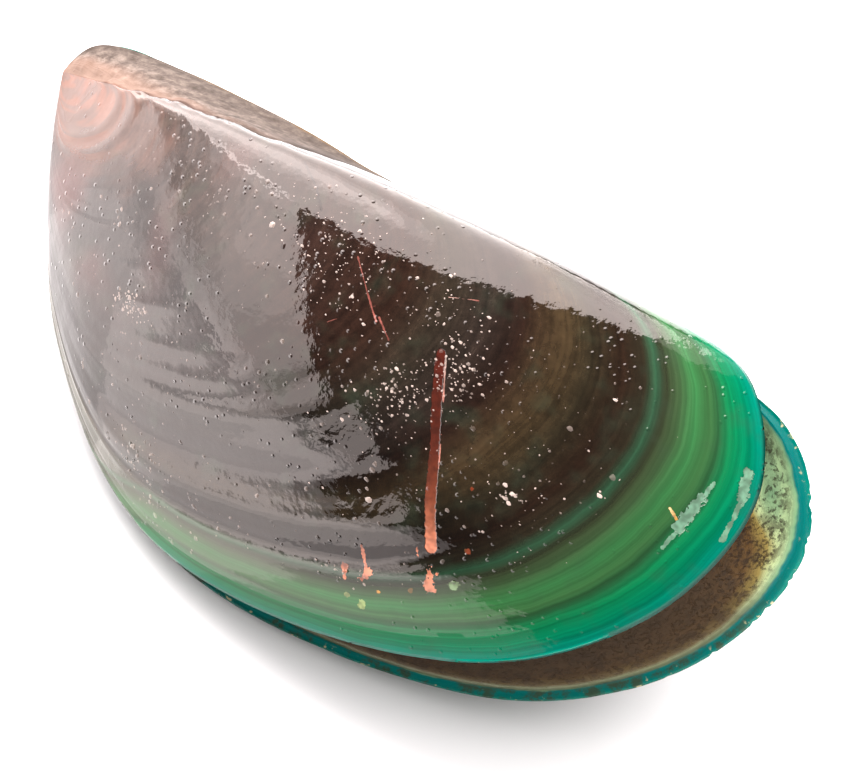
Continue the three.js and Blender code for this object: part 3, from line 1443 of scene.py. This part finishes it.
    def _worn_parts(
        self, sheet: Sheet, position: object, growth: object, around: object, broad: object, colour: object
    ) -> tuple[object, object]:
        """Lays the worn beak and the rough ventral flank over the bands.

        Args:
            sheet: The material's sheet.
            position: Where.
            growth: Growth share.
            around: Place round the margin.
            broad: The broad growth lines.
            colour: The bands' colour.

        Returns:
            The colour and the roughness.
        """
        patch = sheet.less(sheet.noise(position, 150.0, 2.0, 0.6), 0.5)
        patch = sheet.times(patch, 0.22)
        old = sheet.span(sheet.plus(growth, patch), 0.29, 0.06)
        worn = sheet.mix(sheet.span(broad, 0.3, 0.8), self.umbo, self.peach)
        colour = sheet.mix(sheet.times(old, 0.85), colour, worn)
        flush = sheet.span(sheet.noise(position, 70.0, 1.0), 0.5, 0.7)
        flush = sheet.times(flush, sheet.span(growth, 0.6, 0.3))
        colour = sheet.mix(sheet.times(flush, 0.35), colour, self.flush)
        rough = sheet.blend(old, self.film_roughness, 0.30)
        if self.kind is SkinKind.DRY:
            return self._dusty(sheet, position, growth, around, patch, colour), self.dry_roughness
        return colour, rough

    def _dusty(
        self, sheet: Sheet, position: object, growth: object, around: object, patch: object, colour: object
    ) -> object:
        """Lays the dry dust of the flank over the bands, with a brown hem at the margin.

        Args:
            sheet: The material's sheet.
            position: Where.
            growth: Growth share.
            around: Place round the margin.
            patch: A small patchy shift of the growth share.
            colour: The colour below it.

        Returns:
            The colour.
        """
        dust = sheet.noise(position, 760.0, 6.0, 0.72)
        dust = sheet.blend(sheet.times(sheet.span(growth, 0.42, 0.30), 0.62), dust, 0.5)
        grey = sheet.ramp(dust, ((0.32, self.flank_dark), (0.49, self.flank), (0.68, self.flank_pale)))
        grey = sheet.mix(sheet.times(sheet.span(growth, 0.5, 0.95), 0.42), grey, self.flank_outer)
        tip = sheet.span(sheet.plus(growth, patch), 0.62, 0.30)
        grey = sheet.mix(sheet.times(tip, 0.7), grey, sheet.mix(0.5, grey, self.tip))
        inner = sheet.plus(around, sheet.times(sheet.span(growth, *FLANK_TURN), FLANK_DRAWN_IN))
        inner = sheet.plus(inner, sheet.times(patch, 0.15))
        border = sheet.span(inner, FLANK_EDGE - 0.060, FLANK_EDGE - 0.002)
        colour = sheet.mix(sheet.times(border, 0.85), grey, colour)
        hem = sheet.times(sheet.span(around, 0.14, 0.18), sheet.span(around, 0.26, 0.23))
        outer = sheet.span(sheet.plus(growth, sheet.times(patch, 0.4)), 0.955, 0.985)
        return sheet.mix(sheet.times(sheet.times(hem, outer), 0.7), colour, self.edge_skin)

    def _marks(
        self, sheet: Sheet, groups: Groups, valve: Valve, offset: Vector, position: object, colour: object
    ) -> tuple[object, object, object]:
        """Lays the streaks and chips over the colour.

        Args:
            sheet: The material's sheet.
            groups: The shared node groups.
            valve: The valve that carries them.
            offset: Where the beak of the left valve lies at rest, in millimetres.
            position: Where.
            colour: The colour below them.

        Returns:
            The colour with the marks, where the skin is bare and where it is dented.
        """
        bare: object = 0.0
        dent: object = 0.0
        if not self.streaks:
            return colour, bare, dent
        wander = sheet.less(sheet.noise(position, 1200.0, 3.0, 0.7), 0.5)
        grain = sheet.times(sheet.span(sheet.noise(position, 1300.0, 1.0), 0.35, 0.7), 0.65)
        for streak in self.streaks:
            node = sheet.group(
                groups.get(GroupKind.STRIPE), Position=position, Wander=wander,
                Start=valve.spot_at(*streak.start, offset), End=valve.spot_at(*streak.end, offset),
                Half_Width=streak.half_width * MM, Ragged=streak.ragged,
            )
            tone = sheet.mix(node.outputs["Along"], streak.first, streak.last)
            tone = sheet.mix(grain, tone, sheet.mix(0.7, tone, self.scar_dirt))
            colour = sheet.mix(node.outputs["Mask"], colour, tone)
            if streak.sunk:
                bare = sheet.math("MAXIMUM", bare, node.outputs["Mask"])
            if streak.half_width > self.deep_width:
                dent = sheet.math("MAXIMUM", dent, node.outputs["Mask"])
        for chip in self.chips:
            blot = sheet.group(
                groups.get(GroupKind.BLOT), Position=position, Wander=wander, Ragged=2.8,
                Centre=valve.spot_at(chip.share, chip.place, offset), Radius=chip.radius * MM,
            ).outputs["Mask"]
            colour = sheet.mix(blot, colour, sheet.mix(grain, chip.colour, self.chip_dirt))
            bare = sheet.math("MAXIMUM", bare, blot)
        return colour, bare, dent


@dataclass(frozen=True)
class InsideFinish:
    """The lip and hollow of a valve: teal lip, a pale mint line, then tan with dirt, then nacre."""

    name: str
    bands: tuple[Stop, ...] = (
        # At the rim edge the lip's teal is a little lighter: its own teal with a painted highlight.
        (0.00, srgb(0, 92, 80)),
        (0.03, srgb(0, 80, 74)),
        (0.105, srgb(0, 76, 74)),
        (0.125, srgb(76, 108, 80)),
        (0.20, srgb(136, 152, 110)),
        (0.27, srgb(104, 92, 46)),
        (0.36, srgb(66, 47, 20)),
        (0.55, srgb(42, 28, 13)),
        (0.80, srgb(84, 76, 60)),
        (1.00, srgb(160, 156, 148)),
    )
    depth: float = 10.0
    dirt: Colour = srgb(26, 18, 10)
    mud: Colour = srgb(42, 30, 15)
    lip_stain: Colour = srgb(46, 44, 24)
    chalk: Colour = srgb(176, 164, 126)

    def material(self, groups: Groups) -> bpy.types.Material:
        """Makes the material.

        Args:
            groups: The shared node groups.

        Returns:
            The material.
        """
        material, sheet, shader = new_material(self.name)
        position = sheet.add("ShaderNodeTexCoord").outputs["Object"]
        inset = value_of(sheet, "inset")
        around = value_of(sheet, "around")
        sway = sheet.less(sheet.noise(position, 240.0, 3.0, 0.6), 0.5)
        past = sheet.times(sheet.span(inset, 1.0, 1.8), sheet.span(around, 0.44, 0.55))
        near_end = sheet.times(sheet.span(inset, 1.3, 3.5), sheet.span(around, 0.475, 0.43))
        worn = sheet.plus(inset, sheet.times(past, 1.3))
        worn = sheet.less(worn, sheet.times(near_end, 2.0))
        share = sheet.math("DIVIDE", sheet.plus(worn, sheet.times(sway, 0.9)), self.depth)
        colour = sheet.ramp(share, self.bands)
        blotch = sheet.noise(position, 520.0, 6.0, 0.78)
        deep = sheet.span(inset, 1.15, 2.2)
        soiled = sheet.times(sheet.span(blotch, 0.46, 0.58), sheet.times(deep, 0.85))
        clean = sheet.less(1.0, sheet.times(near_end, 0.7))
        soiled = sheet.times(soiled, clean)
        colour = sheet.mix(soiled, colour, self.dirt)
        cracks = sheet.span(sheet.noise(position, 1900.0, 3.0, 0.6), 0.47, 0.40)
        near = sheet.times(cracks, sheet.times(deep, sheet.span(inset, 16.0, 6.0)))
        colour = sheet.mix(sheet.times(near, 0.7), colour, self.dirt)
        dull = sheet.times(sheet.span(around, 0.475, 0.52), sheet.span(inset, 0.95, 1.2))
        colour = sheet.mix(sheet.times(dull, 0.72), colour, self.mud)
        lower = sheet.times(sheet.span(around, 0.47, 0.54), sheet.span(inset, 1.2, 0.9))
        stain = sheet.times(sheet.span(sheet.noise(position, 520.0, 5.0, 0.7), 0.46, 0.62), lower)
        colour = sheet.mix(sheet.times(stain, 0.75), colour, self.lip_stain)
        fleck = sheet.span(sheet.noise(position, 1100.0, 3.0), 0.62, 0.70)
        chalk = sheet.times(fleck, sheet.span(inset, 0.9, 0.2))
        colour = sheet.mix(sheet.times(chalk, 0.7), colour, self.chalk)
        lines = sheet.group(
            groups.get(GroupKind.GROWTH_LINES), Growth=share, Around=around, Position=position
        )
        tone = sheet.plus(sheet.times(lines.outputs["Fine"], 0.35), 0.82)
        colour = sheet.toned(colour, tone)
        height = sheet.times(blotch, 0.00012)
        height = sheet.plus(height, sheet.times(near, 0.00006))
        sheet.feed(shader.inputs["Base Color"], colour)
        sheet.feed(shader.inputs["Roughness"], sheet.blend(deep, 0.18, 0.62))
        sheet.feed(shader.inputs["Normal"], sheet.bump(height))
        shader.inputs["Specular IOR Level"].default_value = 0.12
        return material


@dataclass(frozen=True)
class LigamentFinish:
    """Dark brown horny fibre."""

    name: str
    dark: Colour = srgb(40, 24, 14)
    light: Colour = srgb(96, 62, 34)

    def material(self) -> bpy.types.Material:
        """Makes the material.

        Returns:
            The material.
        """
        material, sheet, shader = new_material(self.name)
        along = sheet.times(value_of(sheet, "growth"), 3.0)
        turn = sheet.times(value_of(sheet, "around"), 60.0)
        fibre = sheet.noise(sheet.combine(along, turn, 0.0), 1.0, 3.0)
        sheet.feed(shader.inputs["Base Color"], sheet.ramp(fibre, ((0.3, self.dark), (0.7, self.light))))
        sheet.feed(shader.inputs["Normal"], sheet.bump(sheet.times(fibre, 0.00006)))
        sheet.feed(shader.inputs["Roughness"], sheet.blend(fibre, 0.35, 0.55))
        return material


@dataclass(frozen=True)
class Viewpoint:
    """The camera: where it stands round the object, its roll and its scale."""

    aim: tuple[float, float, float] = (4.128, 4.980, 16.908)
    azimuth_deg: float = 2.883
    elevation_deg: float = 50.51
    roll_deg: float = 30.27
    distance: float = 600.0
    pixels_per_mm: float = 9.854
    sensor: float = 36.0

    def axes(self) -> tuple[Vector, Vector, Vector]:
        """Right, up and backward directions of the camera.

        Returns:
            The three unit vectors.
        """
        turn = math.radians(self.azimuth_deg)
        lift = math.radians(self.elevation_deg)
        level = Vector((math.cos(turn), math.sin(turn), 0))
        back = Vector((math.sin(turn) * math.cos(lift), -math.cos(turn) * math.cos(lift), math.sin(lift)))
        upright = back.cross(level)
        roll = math.radians(self.roll_deg)
        right = level * math.cos(roll) + upright * math.sin(roll)
        return right, back.cross(right), back

    def point(self, right: float, up: float, back: float) -> Vector:
        """A point given in the camera's own directions from the aim, in millimetres.

        Args:
            right: Millimetres to the right.
            up: Millimetres up.
            back: Millimetres towards the camera.

        Returns:
            The point in metres.
        """
        axes = self.axes()
        return (Vector(self.aim) + axes[0] * right + axes[1] * up + axes[2] * back) * MM

    def build(self) -> bpy.types.Object:
        """Makes the camera and makes it the scene's camera.

        Returns:
            The camera.
        """
        data = bpy.data.cameras.new("camera")
        data.sensor_fit = "HORIZONTAL"
        data.sensor_width = self.sensor
        data.lens = self.sensor * self.distance / (IMAGE_WIDTH / self.pixels_per_mm)
        data.clip_start = 0.01
        data.clip_end = 20
        obj = bpy.data.objects.new("camera", data)
        right, up, back = self.axes()
        turn = Matrix((right, up, back)).transposed().to_4x4()
        obj.matrix_world = Matrix.Translation(self.point(0, 0, self.distance)) @ turn
        bpy.context.scene.collection.objects.link(obj)
        bpy.context.scene.camera = obj
        return obj


@dataclass(frozen=True)
class SoftBox:
    """One soft studio light: a flat glowing panel."""

    name: str
    centre: Vector
    facing: Vector
    upright: Vector
    size: tuple[float, float]
    radiance: float
    colour: tuple[float, float, float] = (1.0, 0.93, 0.91)
    disc: bool = False
    mirrored: bool = True

    def build(self) -> bpy.types.Object:
        """Makes the light.

        Returns:
            The light.
        """
        data = bpy.data.lights.new(self.name, "AREA")
        data.shape = "ELLIPSE" if self.disc else "RECTANGLE"
        data.size, data.size_y = self.size
        share = math.pi / 4 if self.disc else 1.0
        data.energy = self.radiance * 4 * self.size[0] * self.size[1] * share
        data.color = self.colour
        obj = bpy.data.objects.new(self.name, data)
        back = -self.facing.normalized()
        right = self.upright.cross(back).normalized()
        up = back.cross(right)
        obj.matrix_world = Matrix.Translation(self.centre) @ Matrix((right, up, back)).transposed().to_4x4()
        obj.visible_camera = False
        obj.visible_glossy = self.mirrored
        bpy.context.scene.collection.objects.link(obj)
        return obj


@dataclass
class Studio:
    """The floor, the soft lights and the pale surroundings."""

    view: Viewpoint
    floor_size: float = 0.9
    floor_colour: Colour = (0.56, 0.575, 0.59, 1.0)
    world_colour: Colour = (0.95, 0.97, 1.0, 1.0)
    world_strength: float = 0.12
    side_distance: float = 180.0
    layer_gap: float = 0.3

    def build(self) -> None:
        """Makes the floor, lights and world."""
        self._floor()
        self._world()
        for box in self._boxes():
            box.build()
            LOG.info("light %s", box.name)

    def _boxes(self) -> list[SoftBox]:
        """Lists the lights: round ones above, panels at the left, cards on the floor and a wide fill.

        Returns:
            The lights.
        """
        right, up, back = self.view.axes()
        slant = right * 0.66 + back * 0.75
        lean = right * -0.564 + back * 0.826
        round_at = self.view.point(-22.6, 200, 35.5)
        glows = [
            SoftBox(name, self.view.point(-130, height, 30), -up, slant, size, radiance, disc=True)
            for name, height, size, radiance in (
                ("glow_wide", 199, (0.15, 0.36), 1.2),
                ("glow_mid", 198, (0.10, 0.31), 1.8),
                ("glow_core", 197, (0.055, 0.27), 2.2),
            )
        ]
        return [
            SoftBox("round_box", round_at, -up, lean, (0.394, 0.497), 6.8, disc=True),
            *glows,
            SoftBox("back_box", self.view.point(165, 200, -60), -up, back, (0.13, 0.22), 1.2),
            *self._side_panels(),
            *self._floor_cards(),
            SoftBox(
                "fill", Vector((0.1, -0.25, 1.0)), Vector((-0.1, 0.25, -1)), Vector((0, 1, 0)),
                (1.2, 1.2), 5.8, mirrored=False,
            ),
        ]

    def _side_panels(self) -> list[SoftBox]:
        """Panels at the left, laid over each other so that the light grows towards the front and the top.

        Returns:
            The panels.
        """
        right, up, _ = self.view.axes()
        low = self.view.point(-self.side_distance, -102, 20)
        panels = [SoftBox("side_low", low, right, up, (0.11, 0.095), 2.6)]
        top = 164
        for number, (near, far, foot, head, radiance) in enumerate((
            (5, 145, -55, top, 1.0),
            (28, 145, -55, top, 1.0),
            (36, 145, -20, top, 0.9),
            (46, 145, -12, top, 0.9),
            (60, 145, 20, top, 0.8),
            (76, 145, 55, top, 0.8),
            (40, 145, 125, top, 0.9),
            (-35, 36, 95, top, 1.4),
            (-35, 36, 40, 95, 0.9),
            (118, 225, -150, -90, 2.8),
        )):
            aside = -self.side_distance - number * self.layer_gap
            centre = self.view.point(aside, (foot + head) / 2, (near + far) / 2)
            size = ((far - near) * MM, (head - foot) * MM)
            panels.append(SoftBox(f"side_{number}", centre, right, up, size, radiance))
        return panels

    def _floor_cards(self) -> list[SoftBox]:
        """Pale cards on the floor at the left, brighter towards the front.

        Returns:
            The cards.
        """
        along = Vector((0.1671, -0.9857, 0))
        away = Vector((-0.9857, -0.1671, 0))
        edge = Vector((0.888, 0.46, 0)) * -12
        cards = []
        for number, (start, end, near, far, radiance) in enumerate((
            (-45, 130, 32, 112, 0.8), (-15, 150, 12, 84, 0.9), (8, 190, 0, 68, 1.3),
        )):
            middle = along * ((start + end) / 2) + away * ((near + far) / 2)
            centre = (edge + middle + Vector((0, 0, 2 + number))) * MM
            size = ((far - near) * MM, (end - start) * MM)
            cards.append(SoftBox(f"card_{number}", centre, Vector((0, 0, 1)), along, size, radiance))
        return cards

    def _floor(self) -> None:
        """A plain pale floor."""
        mesh = bpy.data.meshes.new("floor")
        half = self.floor_size / 2
        corners = [(-half, -half, 0), (half, -half, 0), (half, half, 0), (-half, half, 0)]
        mesh.from_pydata(corners, [], [(0, 1, 2, 3)])
        obj = bpy.data.objects.new("floor", mesh)
        material, _, shader = new_material("pale_floor")
        shader.inputs["Base Color"].default_value = self.floor_colour
        shader.inputs["Roughness"].default_value = 0.7
        shader.inputs["Specular IOR Level"].default_value = 0.2
        mesh.materials.append(material)
        bpy.context.scene.collection.objects.link(obj)

    def _world(self) -> None:
        """Pale even surroundings."""
        world = bpy.data.worlds.new("surroundings")
        world.use_nodes = True
        back = world.node_tree.nodes["Background"]
        back.inputs["Color"].default_value = self.world_colour
        back.inputs["Strength"].default_value = self.world_strength
        bpy.context.scene.world = world
        bpy.context.scene.view_settings.view_transform = "Standard"


RIGHT_FOLDS = (
    Fold(0.095, 0.012, 0.03, 0.30, 0.86),
    Fold(0.140, 0.011, 0.09, 0.26, 0.86),
    Fold(0.176, 0.011, 0.11, 0.30, 0.84),
    Fold(0.25, 0.018, 0.14, 0.60, 0.79),
    Fold(0.33, 0.014, 0.10, 0.60, 0.79),
    Fold(0.40, 0.012, 0.10, 0.60, 0.78),
    Fold(0.47, 0.012, 0.12, 0.60, 0.78),
    Fold(0.545, 0.011, 0.12, 0.60, 0.78),
    Fold(0.59, 0.010, 0.085, 0.60, 0.78),
    Fold(0.632, 0.010, 0.07, 0.60, 0.78),
    Fold(0.650, 0.020, 0.20, 0.47, 0.82),
    Fold(0.741, 0.030, -0.30, 0.45, 0.83),
    Fold(0.812, 0.020, 0.18, 0.50, 0.84),
    Fold(0.862, 0.013, -0.15, 0.48, 0.85),
    Fold(0.892, 0.012, 0.06, 0.50, 0.86),
    Fold(0.883, 0.006, 0.05, 0.40),
    Fold(0.951, 0.004, -0.05, 0.38),
)
LEFT_SHIFT = 0.013
LEFT_FOLDS = tuple(
    replace(fold, share=fold.share + LEFT_SHIFT, height=fold.height * 0.9) for fold in RIGHT_FOLDS
)

RIGHT_SWELLS = (
    Swell(0.985, 0.205, 0.06, 0.030, 0.55), Swell(1.0, 0.392, 0.035, 0.022, 0.40),
)
# The last number is how pale the pimples are painted; in the dark middle it is high, a painted glint on lime
# grit.
RIGHT_CLUSTERS = (
    Cluster(0.361, 0.512, 0.010, 0.014, 22, 0.15, 0.10),
    Cluster(0.475, 0.697, 0.016, 0.010, 70, 0.13, 0.25),
    Cluster(0.56, 0.70, 0.06, 0.03, 30, 0.13, 0.06),
    Cluster(0.87, 0.755, 0.07, 0.012, 80, 0.13, 0.20),
    Cluster(0.80, 0.74, 0.06, 0.02, 50, 0.12, 0.10),
    Cluster(0.535, 0.490, 0.035, 0.030, 170, 0.085, 0.50),
    Cluster(0.675, 0.552, 0.016, 0.014, 120, 0.10, 0.55),
    Cluster(0.705, 0.507, 0.018, 0.016, 130, 0.095, 0.60),
    Cluster(0.655, 0.470, 0.025, 0.018, 50, 0.09, 0.55),
    Cluster(0.74, 0.535, 0.06, 0.05, 130, 0.06, 0.60),
    Cluster(0.845, 0.545, 0.022, 0.022, 50, 0.08, 0.60),
    Cluster(0.823, 0.551, 0.008, 0.003, 16, 0.14, 0.80),
    Cluster(0.26, 0.55, 0.04, 0.06, 24, 0.12, 0.06),
    Cluster(0.885, 0.650, 0.010, 0.012, 36, 0.10, 0.35),
)
# The fourth number is how pale a pimple is painted; the palest ones are painted glints on lime grit.
RIGHT_SPOTS = (
    Spot(0.445, 0.495, 0.38, 0.35),
    Spot(0.471, 0.507, 0.40, 0.0),
    Spot(0.416, 0.448, 0.34, 0.1),
    Spot(0.416, 0.488, 0.28),
    Spot(0.405, 0.47, 0.26),
    Spot(0.385, 0.52, 0.28),
    Spot(0.43, 0.52, 0.24),
    Spot(0.50, 0.56, 0.26),
    Spot(0.752, 0.609, 0.20, 0.16, 1.8),
    Spot(0.777, 0.617, 0.34, 0.40, 1.3),
    Spot(0.742, 0.601, 0.36, 0.14, 1.3),
    Spot(0.736, 0.597, 0.24, 0.16, 1.4),
    Spot(0.763, 0.613, 0.16, 0.2, 1.7),
    Spot(0.816, 0.548, 0.24, 0.80, 1.8),
    Spot(0.833, 0.555, 0.28, 0.85, 1.3),
    Spot(0.882, 0.517, 0.22, 0.9, 1.6),
    Spot(0.879, 0.515, 0.12, 0.9, 1.2),
    Spot(0.845, 0.463, 0.18, 0.8, 1.7),
    Spot(0.812, 0.583, 0.22, 0.2, 1.3),
    Spot(0.835, 0.583, 0.16, 0.22, 1.5),
    Spot(0.885, 0.503, 0.12, 0.6, 0.6),
    Spot(0.700, 0.575, 0.20, 0.18, 1.4),
    Spot(0.690, 0.585, 0.18, 0.18, 1.5),
)
SALMON = srgb(176, 106, 78)
MAROON = srgb(58, 19, 12)
SCRATCH = srgb(92, 50, 44)
# Pale colour of a painted highlight along the scar's edge.
SCAR_EDGE_HIGHLIGHT = srgb(118, 106, 100)
# Pale mint of a painted reflection on the water film.
WET_GLINT_MINT = srgb(92, 128, 106)
AMBER = srgb(164, 118, 52)
RIGHT_STREAKS = (
    Streak((0.680, 0.504), (0.708, 0.533), 0.50, 0.9, MAROON, srgb(60, 23, 15)),
    Streak((0.708, 0.533), (0.748, 0.561), 0.53, 0.9, srgb(60, 23, 15), srgb(62, 25, 16)),
    Streak((0.748, 0.561), (0.795, 0.586), 0.56, 0.9, srgb(62, 25, 16), srgb(86, 42, 27)),
    Streak((0.795, 0.586), (0.848, 0.607), 0.60, 0.9, srgb(86, 42, 27), SALMON),
    # These two thin pale streaks along the scar's right edge are a painted highlight.
    Streak((0.686, 0.504), (0.716, 0.533), 0.09, 2.4, SCAR_EDGE_HIGHLIGHT, srgb(150, 96, 84)),
    Streak((0.716, 0.533), (0.797, 0.583), 0.07, 3.0, srgb(150, 96, 84), srgb(134, 84, 70)),
    Streak((0.552, 0.474), (0.582, 0.498), 0.07, 2.6, SCRATCH, SCRATCH),
    Streak((0.582, 0.498), (0.607, 0.513), 0.09, 2.6, SCRATCH, srgb(118, 68, 60)),
    Streak((0.607, 0.509), (0.630, 0.519), 0.08, 3.0, srgb(118, 68, 60), SCRATCH),
    Streak((0.569, 0.540), (0.596, 0.503), 0.045, 2.6, SCRATCH, srgb(110, 64, 56)),
    Streak((0.659, 0.462), (0.690, 0.450), 0.06, 3.0, srgb(140, 112, 104), SCRATCH),
    Streak((0.870, 0.655), (0.889, 0.659), 0.25, 4.6, srgb(112, 62, 44), SALMON),
    Streak((0.838, 0.639), (0.884, 0.648), 0.16, 4.2, srgb(130, 76, 58), SALMON),
    Streak((0.874, 0.645), (0.887, 0.651), 0.30, 4.6, SALMON, srgb(120, 66, 48)),
    Streak((0.880, 0.618), (0.897, 0.624), 0.54, 4.4, SALMON, srgb(164, 106, 82)),
    Streak((0.842, 0.613), (0.856, 0.617), 0.20, 4.4, srgb(120, 68, 50), SALMON),
    Streak((0.936, 0.499), (0.948, 0.502), 0.15, 2.6, srgb(196, 170, 120), AMBER),
    # Mint patches of wet film: painted reflections of the water film, not marks in the skin.
    Streak((0.955, 0.518), (0.954, 0.502), 0.20, 4.0, WET_GLINT_MINT, WET_GLINT_MINT, False),
    Streak((0.953, 0.504), (0.954, 0.486), 0.62, 3.0, WET_GLINT_MINT, WET_GLINT_MINT, False),
    Streak((0.955, 0.484), (0.957, 0.474), 0.22, 3.6, WET_GLINT_MINT, WET_GLINT_MINT, False),
    # Painted shade of a thin groove: a near-black line with no groove in the mesh under it.
    Streak((0.476, 0.384), (0.486, 0.420), 0.10, 3.0, srgb(20, 18, 18), srgb(12, 12, 12)),
    Streak((0.486, 0.420), (0.494, 0.448), 0.13, 4.0, srgb(12, 12, 12), srgb(24, 20, 18)),
    # Two more painted wet-film reflections, on the rim; the margin finish takes these as its streaks.
    Streak((0.983, 0.456), (0.986, 0.470), 0.56, 3.2, WET_GLINT_MINT, WET_GLINT_MINT, False),
    Streak((0.987, 0.474), (0.990, 0.496), 0.26, 3.6, WET_GLINT_MINT, WET_GLINT_MINT, False),
)
# The last two streaks are the painted wet-film reflections on the rim.
RIM_GLINTS = 2
RIGHT_CHIPS = (
    Chip(0.905, 0.648, 0.22, AMBER),
    Chip(0.900, 0.633, 0.30, srgb(116, 84, 48)),
    Chip(0.928, 0.660, 0.5, srgb(120, 138, 84)),
    Chip(0.916, 0.664, 0.3, srgb(120, 132, 84)),
    Chip(0.897, 0.612, 0.5, srgb(104, 126, 92)),
    Chip(0.862, 0.592, 0.3, srgb(92, 40, 24)),
    Chip(0.802, 0.563, 0.2, srgb(92, 36, 20)),
)
LEFT_NOTCHES = (
    Notch(0.4245, 0.0016, 0.20),
    Notch(0.4330, 0.0030, 0.32),
    Notch(0.4395, 0.0009, 0.22),
    Notch(0.4545, 0.0012, 0.26),
    Notch(0.4600, 0.0026, 0.24),
    Notch(0.4780, 0.0010, 0.28),
    Notch(0.4835, 0.0014, 0.22),
    Notch(0.5035, 0.0020, 0.26),
    Notch(0.5130, 0.0008, 0.20),
    Notch(0.5390, 0.0012, 0.18),
    Notch(0.5620, 0.0010, 0.18),
)


def beak_at_rest(growth: Growth, pose: RestPose) -> Vector:
    """Finds where the left valve's beak lies, from the box of the CAD left valve.

    Args:
        growth: The valves' growth.
        pose: How they lie.

    Returns:
        The beak at rest, in millimetres.
    """
    low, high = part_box("left_valve")
    shares = np.linspace(0.05, 1, 200)
    places = np.arange(MARGIN_SAMPLES) / MARGIN_SAMPLES
    share, place = np.meshgrid(shares, places, indexing="ij")
    sharp = replace(growth, crease_mm=0.0)
    points = sharp.outside(share, place, pose.length, Side.LEFT).reshape(-1, 3)
    points = move(points, pose.laid())
    least = points.min(axis=0)
    most = points.max(axis=0)
    return Vector((
        ((low.x + high.x) / MM - least[0] - most[0]) / 2,
        ((low.y + high.y) / MM - least[1] - most[1]) / 2,
        high.z / MM - most[2],
    ))


class MusselShell:
    """The whole shell: both valves and the ligament."""

    def __init__(self) -> None:
        """Sets the sizes of the parts."""
        self.growth = Growth()
        self.pose = RestPose()
        self.groups = Groups()
        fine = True
        self.right = Valve(
            "right_valve_shell", Side.RIGHT, self.growth, self.pose, Relief(7, RIGHT_FOLDS, RIGHT_SWELLS),
            GridPlan(170 if fine else 90, 6, 28, 300 if fine else 160),
            spots=RIGHT_SPOTS, clusters=RIGHT_CLUSTERS, pimples=360, rim_wear=0.04,
        )
        self.left = Valve(
            "left_valve_shell", Side.LEFT, self.growth, self.pose, Relief(11, LEFT_FOLDS),
            GridPlan(120 if fine else 70, 10, 80, 320 if fine else 160),
            pimples=200, rim_wear=0.03, notches=LEFT_NOTCHES,
        )
        self.ligament = Ligament(self.growth, self.pose)

    def build(self) -> None:
        """Makes the pieces and gives each its node, body, slot and materials."""
        offset = beak_at_rest(self.growth, self.pose)
        LOG.info("beak at %s mm", tuple(round(value, 2) for value in offset))
        right_skin = OutsideFinish("right_skin", streaks=RIGHT_STREAKS, chips=RIGHT_CHIPS)
        left_skin = OutsideFinish("left_skin")
        for valve, finish, node in (
            (self.right, right_skin, "right_valve"), (self.left, left_skin, "left_valve"),
        ):
            obj = valve.build(offset)
            flank = OutsideFinish(f"{node}_flank", kind=SkinKind.DRY)
            # The margin finish gets the painted wet-film reflections on the rim as its streaks.
            rim_glints = finish.streaks[-RIM_GLINTS:]
            margin = replace(finish, name=f"{node}_margin", kind=SkinKind.MARGIN, streaks=rim_glints)
            materials = {
                Slot.WET: finish.material(self.groups, valve, offset),
                Slot.INSIDE: InsideFinish(f"{node}_inside").material(self.groups),
                Slot.FLANK: flank.material(self.groups, valve, offset),
                Slot.MARGIN: margin.material(self.groups, valve, offset),
            }
            for slot in Slot:
                obj.data.materials.append(materials[slot])
            self._enter(obj, node)
        band = self.ligament.build(offset)
        band.data.materials.append(LigamentFinish("ligament_fibre").material())
        self._enter(band, "ligament")

    @staticmethod
    def _enter(obj: bpy.types.Object, node: str) -> None:
        """Ties a piece to its CAD node and logs it.

        Args:
            obj: The piece.
            node: The CAD node it stands for.
        """
        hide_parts(node)
        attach(obj, "root")
        LOG.info("%s: %d faces", obj.name, len(obj.data.polygons))


def main() -> None:
    """Builds the shell, the studio and the camera in order."""
    logging.basicConfig(level=logging.INFO, format="%(message)s")
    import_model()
    MusselShell().build()
    view = Viewpoint()
    Studio(view).build()
    view.build()


if __name__ == "__main__":
    main()
